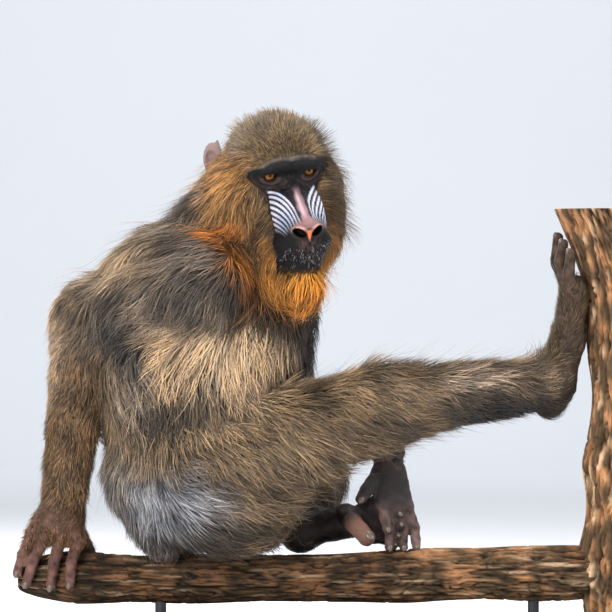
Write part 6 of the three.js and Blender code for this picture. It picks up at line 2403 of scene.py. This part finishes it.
@dataclass
class Perch:
    """The cut branch and the length of trunk, with plates of bark between cracks."""

    start: float = -341.0
    end: float = 300.0
    radius: float = 25.0
    trunk_radius: float = 50.0
    trunk_bottom: float = 44.0
    trunk_top: float = 478.0
    branch_mesh: tuple[int, int] = (380, 124)
    trunk_mesh: tuple[int, int] = (240, 186)
    branch_cracks: float = 4.2
    trunk_cracks: float = 6.5
    cap_rings: tuple[float, ...] = (0.93, 0.7, 0.45, 0.2)
    finish: BarkFinish = BarkFinish("bark_plates", 0.9)

    def branch_at(self, x: Array) -> tuple[Array, Array]:
        """Centre and half thickness of the branch at places along it.

        Args:
            x: Places along it.

        Returns:
            Centres and radii.
        """
        t = (x - self.start) / (self.end - self.start)
        end = np.clip((x - self.start) / 60.0, 0.0, 1.0)
        swell = 1.0 + 0.05 * np.sin(9 * t + 1) + 0.035 * np.sin(23 * t) + 0.1 * t * t
        radius = self.radius * swell * (0.42 + 0.58 * np.sqrt(end))
        sag = 88.5 - 3.0 * np.sin(math.pi * np.clip(t * 1.35, 0.0, 1.0)) + 5.0 * t * t
        return np.stack([x, 1.5 * np.sin(7 * t), sag], -1), radius

    def trunk_at(self, z: Array) -> tuple[Array, Array]:
        """Centre and half thickness of the trunk at heights.

        Args:
            z: Heights.

        Returns:
            Centres and radii.
        """
        lean = np.maximum(0.0, (z - 360.0) / (self.trunk_top - 360.0))
        foot = hump(z, 95.0, 45.0)
        knot = 4.0 * hump(z, 205.0, 22.0)
        waist = -3.0 * hump(z, 280.0, 30.0)
        centre = np.stack([314.0 - 36.0 * lean ** 1.7 - 4.0 * foot, np.full_like(z, 4.0), z], -1)
        return centre, self.trunk_radius + 7.0 * foot + knot + waist

    def cracks(self, along: Array, angle: Array, girth: float, seed: int) -> Array:
        """Height of the bark, 0 in a crack and 1 on a plate, at places on a limb of wood.

        Args:
            along: Places along the limb.
            angle: Turns round it.
            girth: The limb's radius.
            seed: Which pattern to use.

        Returns:
            One height for each place.
        """
        round_way = [girth * np.cos(angle), girth * np.sin(angle)]
        bend = 3.0 * ripple(np.stack([along, *round_way], -1), 45.0, seed + 3)
        round_way[0] = round_way[0] + bend
        long_way = np.stack([along * 0.13, *round_way], -1)
        square = np.stack([along * 0.55, *round_way], -1)
        deep = np.clip(np.abs(ripple(long_way, 12.0, seed)) * 4.2, 0.0, 1.0)
        fine = np.clip(np.abs(ripple(long_way, 5.5, seed + 1)) * 2.6, 0.0, 1.0)
        cross = np.clip(np.abs(ripple(square, 24.0, seed + 2)) * 9.0, 0.0, 1.0)
        return deep * (0.4 + 0.6 * fine) * (0.6 + 0.4 * cross)

    def limb(self, centres: Array, radii: Array, across: Array, up: Array, sides: int,
             depth: float, seed: int, light: Array) -> tuple[Array, Array, Array]:
        """A limb of wood with sawn ends.

        Args:
            centres: Middle line.
            radii: Half thickness at each centre.
            across: First direction square to the limb.
            up: Second direction square to the limb.
            sides: Points round the limb.
            depth: Depth of the cracks.
            seed: Which pattern of cracks.
            light: How pale the bark is at each centre.

        Returns:
            Points, triangles and colours.
        """
        along = np.linalg.norm(centres - centres[0], axis=1)
        angle = 2.0 * math.pi * np.arange(sides) / sides
        s, a = np.meshgrid(along, angle, indexing="ij")
        run = s + (centres[0] @ np.cross(across, up))
        grooves = 0.022 * np.sin(7 * a + run * 0.03) + 0.02 * np.sin(4 * a - run * 0.05)
        plate = self.cracks(s, a, float(radii.mean()), seed)
        r = radii[:, None] * (1.0 + grooves) + depth * (plate - 0.8)
        out = np.cos(a)[..., None] * across + np.sin(a)[..., None] * up
        rings = centres[:, None] + r[..., None] * out
        dark = np.array((0.007, 0.005, 0.004))
        light = light[:, None, None]
        brown = np.array((0.055, 0.034, 0.018)) * light
        orange = np.array((0.235, 0.115, 0.052)) * light
        tan = np.array((0.33, 0.225, 0.135)) * light
        grain = np.stack([s * 0.12, 25.0 * np.cos(a), 25.0 * np.sin(a)], -1)
        flake = np.clip(0.25 + 0.6 * ripple(rings, 34.0, seed + 5)
                        + 0.5 * ripple(grain, 4.0, seed + 6), 0.0, 1.0)[..., None]
        body = brown * (1 - flake) + orange * flake
        edge = np.clip(1.5 * ripple(grain, 6.0, seed + 8) - 0.7, 0.0, 1.0)[..., None]
        body = body + edge * (tan - body)
        # Cracks go to near black and plate tops keep the full tone: the bark's own dark fissures
        # together with painted shade in them.
        colour = dark + (plate ** 1.1)[..., None] * (body - dark)
        points = [rings.reshape(-1, 3)]
        colours = [colour.reshape(-1, 3)]
        faces = []
        stations = len(centres)
        grid = np.arange(stations * sides).reshape(stations, sides)
        nxt = np.roll(grid, -1, axis=1)
        faces.append(np.stack([grid[:-1], nxt[:-1], nxt[1:]], -1).reshape(-1, 3))
        faces.append(np.stack([grid[:-1], nxt[1:], grid[1:]], -1).reshape(-1, 3))
        total = stations * sides
        wood = np.array((0.36, 0.245, 0.14))
        for end, row in ((0, 0), (1, -1)):
            inner, middle, previous = rings[row], centres[row], grid[row]
            for ring, share in enumerate(self.cap_rings):
                own = np.arange(total, total + sides)
                points.append(middle + (inner - middle) * share)
                tone = 0.8 + 0.25 * (ring % 2)
                colours.append(np.tile(wood * tone * (0.5 if ring == 0 else 1.0), (sides, 1)))
                after, before = np.roll(own, -1), np.roll(previous, -1)
                for corners in ((previous, own, after), (previous, after, before)):
                    face = np.stack(corners, -1)
                    faces.append(face[:, ::-1] if end else face)
                total += sides
                previous = own
            points.append(middle[None])
            colours.append(wood[None])
            cap = np.stack([previous, np.full(sides, total), np.roll(previous, -1)], -1)
            faces.append(cap[:, ::-1] if end else cap)
            total += 1
        return np.concatenate(points), np.concatenate(faces), np.concatenate(colours)

    def build(self) -> Piece:
        """Branch and trunk as one piece.

        Returns:
            The piece.
        """
        side, back, up = np.eye(3)
        stations, sides = self.branch_mesh
        x = np.linspace(self.start, self.end, stations)
        light = 0.85 + 1.1 * ease(x, 20.0, 130.0)
        branch = self.limb(*self.branch_at(x), back, up, sides, self.branch_cracks, 1, light)
        stations, sides = self.trunk_mesh
        z = np.linspace(self.trunk_bottom, self.trunk_top, stations)
        light = np.full_like(z, 2.4)
        trunk = self.limb(*self.trunk_at(z), side, back, sides, self.trunk_cracks, 7, light)
        points = np.concatenate([branch[0], trunk[0]])
        faces = np.concatenate([branch[1], trunk[1] + len(branch[0])])
        mesh = make_mesh("bark_wood", points, faces)
        paint(mesh, self.finish.layer, np.concatenate([branch[2], trunk[2]]))
        piece = place(mesh, self.finish.build())
        declare(piece, "bark", "perch_branch")
        return piece


@dataclass
class Studio:
    """The pale floor, the soft lights and the camera at the photograph's angle."""

    floor_half: float = 14000.0
    backdrop: float = 6000.0
    curve: float = 2500.0
    distance: float = 5000.0
    centre: tuple[float, float] = (-36.0, 375.2)
    frame_width: float = 648.7
    sensor: float = 36.0
    finish: PlainFinish = PlainFinish("studio_pale", 0.85, (0.80, 0.81, 0.83), 1.2, 0.05,
                                      None, ("Specular IOR Level", 0.1))

    def floor(self) -> None:
        """A floor that curves up into a backdrop far behind."""
        half = self.floor_half
        profile = [(-half, 0.0), (self.backdrop, 0.0)]
        for step in range(1, 17):
            angle = math.pi / 2.0 * step / 16.0
            profile.append((self.backdrop + self.curve * math.sin(angle),
                            self.curve * (1.0 - math.cos(angle))))
        profile.append((self.backdrop + self.curve, half))
        points = np.array([(x, y, z) for y, z in profile for x in (-half, half)], float)
        faces = np.array([(2 * i, 2 * i + 1, 2 * i + 3, 2 * i + 2)
                          for i in range(len(profile) - 1)])
        piece = place(make_mesh("studio_floor", points, faces), self.finish.build())

    def lamp(self, name: str, at: Sequence[float], size: float, power: float,
             colour: Sequence[float], aim: Sequence[float] = (-40.0, 0.0, 300.0)) -> None:
        """A square soft light that faces the figure or another place.

        Args:
            name: Its name.
            at: Where it is.
            size: Length of its side.
            power: Its power, in watts.
            colour: The colour.
            aim: The place that it faces.
        """
        data = bpy.data.lights.new(name, "AREA")
        data.size = size * MM
        data.energy = power
        data.color = tuple(colour)
        lamp = show(name, data)
        lamp.location = Vector(at) * MM
        way = Vector(aim) * MM - lamp.location
        lamp.rotation_euler = way.to_track_quat("-Z", "Y").to_euler()

    def build(self) -> None:
        """Everything round the figure."""
        self.floor()
        self.lamp("light_top", (300.0, 300.0, 2600.0), 1500.0, 64.0, (1.0, 0.98, 0.95))
        self.lamp("light_front", (-1500.0, -2600.0, 1500.0), 1200.0, 88.0, (1.0, 0.97, 0.94))
        self.lamp("light_right", (2200.0, -900.0, 1300.0), 1500.0, 34.0, (0.95, 0.97, 1.0))
        self.lamp("light_rim", (-1500.0, 1900.0, 1700.0), 1200.0, 45.0, (1.0, 1.0, 1.0))
        self.lamp("light_back", (0.0, 5400.0, 3600.0), 3000.0, 70.0, (0.93, 0.97, 1.0),
                  (0.0, 8300.0, 500.0))
        bpy.context.scene.view_settings.view_transform = "Standard"
        world = bpy.data.worlds.new("studio_air")
        world.use_nodes = True
        ground = world.node_tree.nodes["Background"]
        ground.inputs[0].default_value = (0.84, 0.88, 0.95, 1.0)
        ground.inputs[1].default_value = 0.6
        bpy.context.scene.world = world
        data = bpy.data.cameras.new("camera")
        data.sensor_width = self.sensor
        data.lens = self.sensor * self.distance / self.frame_width
        data.clip_end = 100.0
        camera = show("camera", data)
        x, z = self.centre
        camera.location = (x * MM, -self.distance * MM, z * MM)
        camera.rotation_euler = (math.pi / 2.0, 0.0, 0.0)
        bpy.context.scene.camera = camera


def dress_solids() -> None:
    """Gives the solids that stay on show their finishes."""
    steel = PlainFinish("stand_paint", 0.5, (0.028, 0.030, 0.033), 1400.0, 0.5,
                        (0.25, 0.0003), ("Metallic", 0.3)).build()
    flesh = HideFinish("ear_hide", 0.6, layer="Ear").build()
    tone = (0.27, 0.19, 0.175)
    for name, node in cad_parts.items():
        if name.startswith(("stand_", "ear_")):
            node.data.materials.clear()
            node.data.materials.append(steel if name.startswith("stand_") else flesh)
        if name.startswith("ear_"):
            paint(node.data, "Ear", np.tile(tone, (len(node.data.vertices), 1)))


def main() -> None:
    """Builds the dressed figure, its perch, stand and studio."""
    logging.basicConfig(level=logging.INFO, format="%(name)s: %(message)s")
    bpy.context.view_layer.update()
    anatomy = Anatomy()
    pose = anatomy.pose
    flesh = Flesh(anatomy.limbs())
    markings = Markings(pose)
    skin = Skin(flesh, anatomy, markings, Face(pose, markings))
    sampled = skin.sample(skin.coat_step)
    skin.build()
    Coat(flesh, pose, markings, sampled).build(*skin.body_shell(sampled, False))
    Bristles(pose).build(skin.face_points, skin.face_normals)
    Nails(anatomy).build()
    for side, node in ((-1, "eye_right"), (1, "eye_left")):
        Eye(pose, side, node).build()
    Perch().build()
    dress_solids()
    Studio().build()


if __name__ == "__main__":
    main()
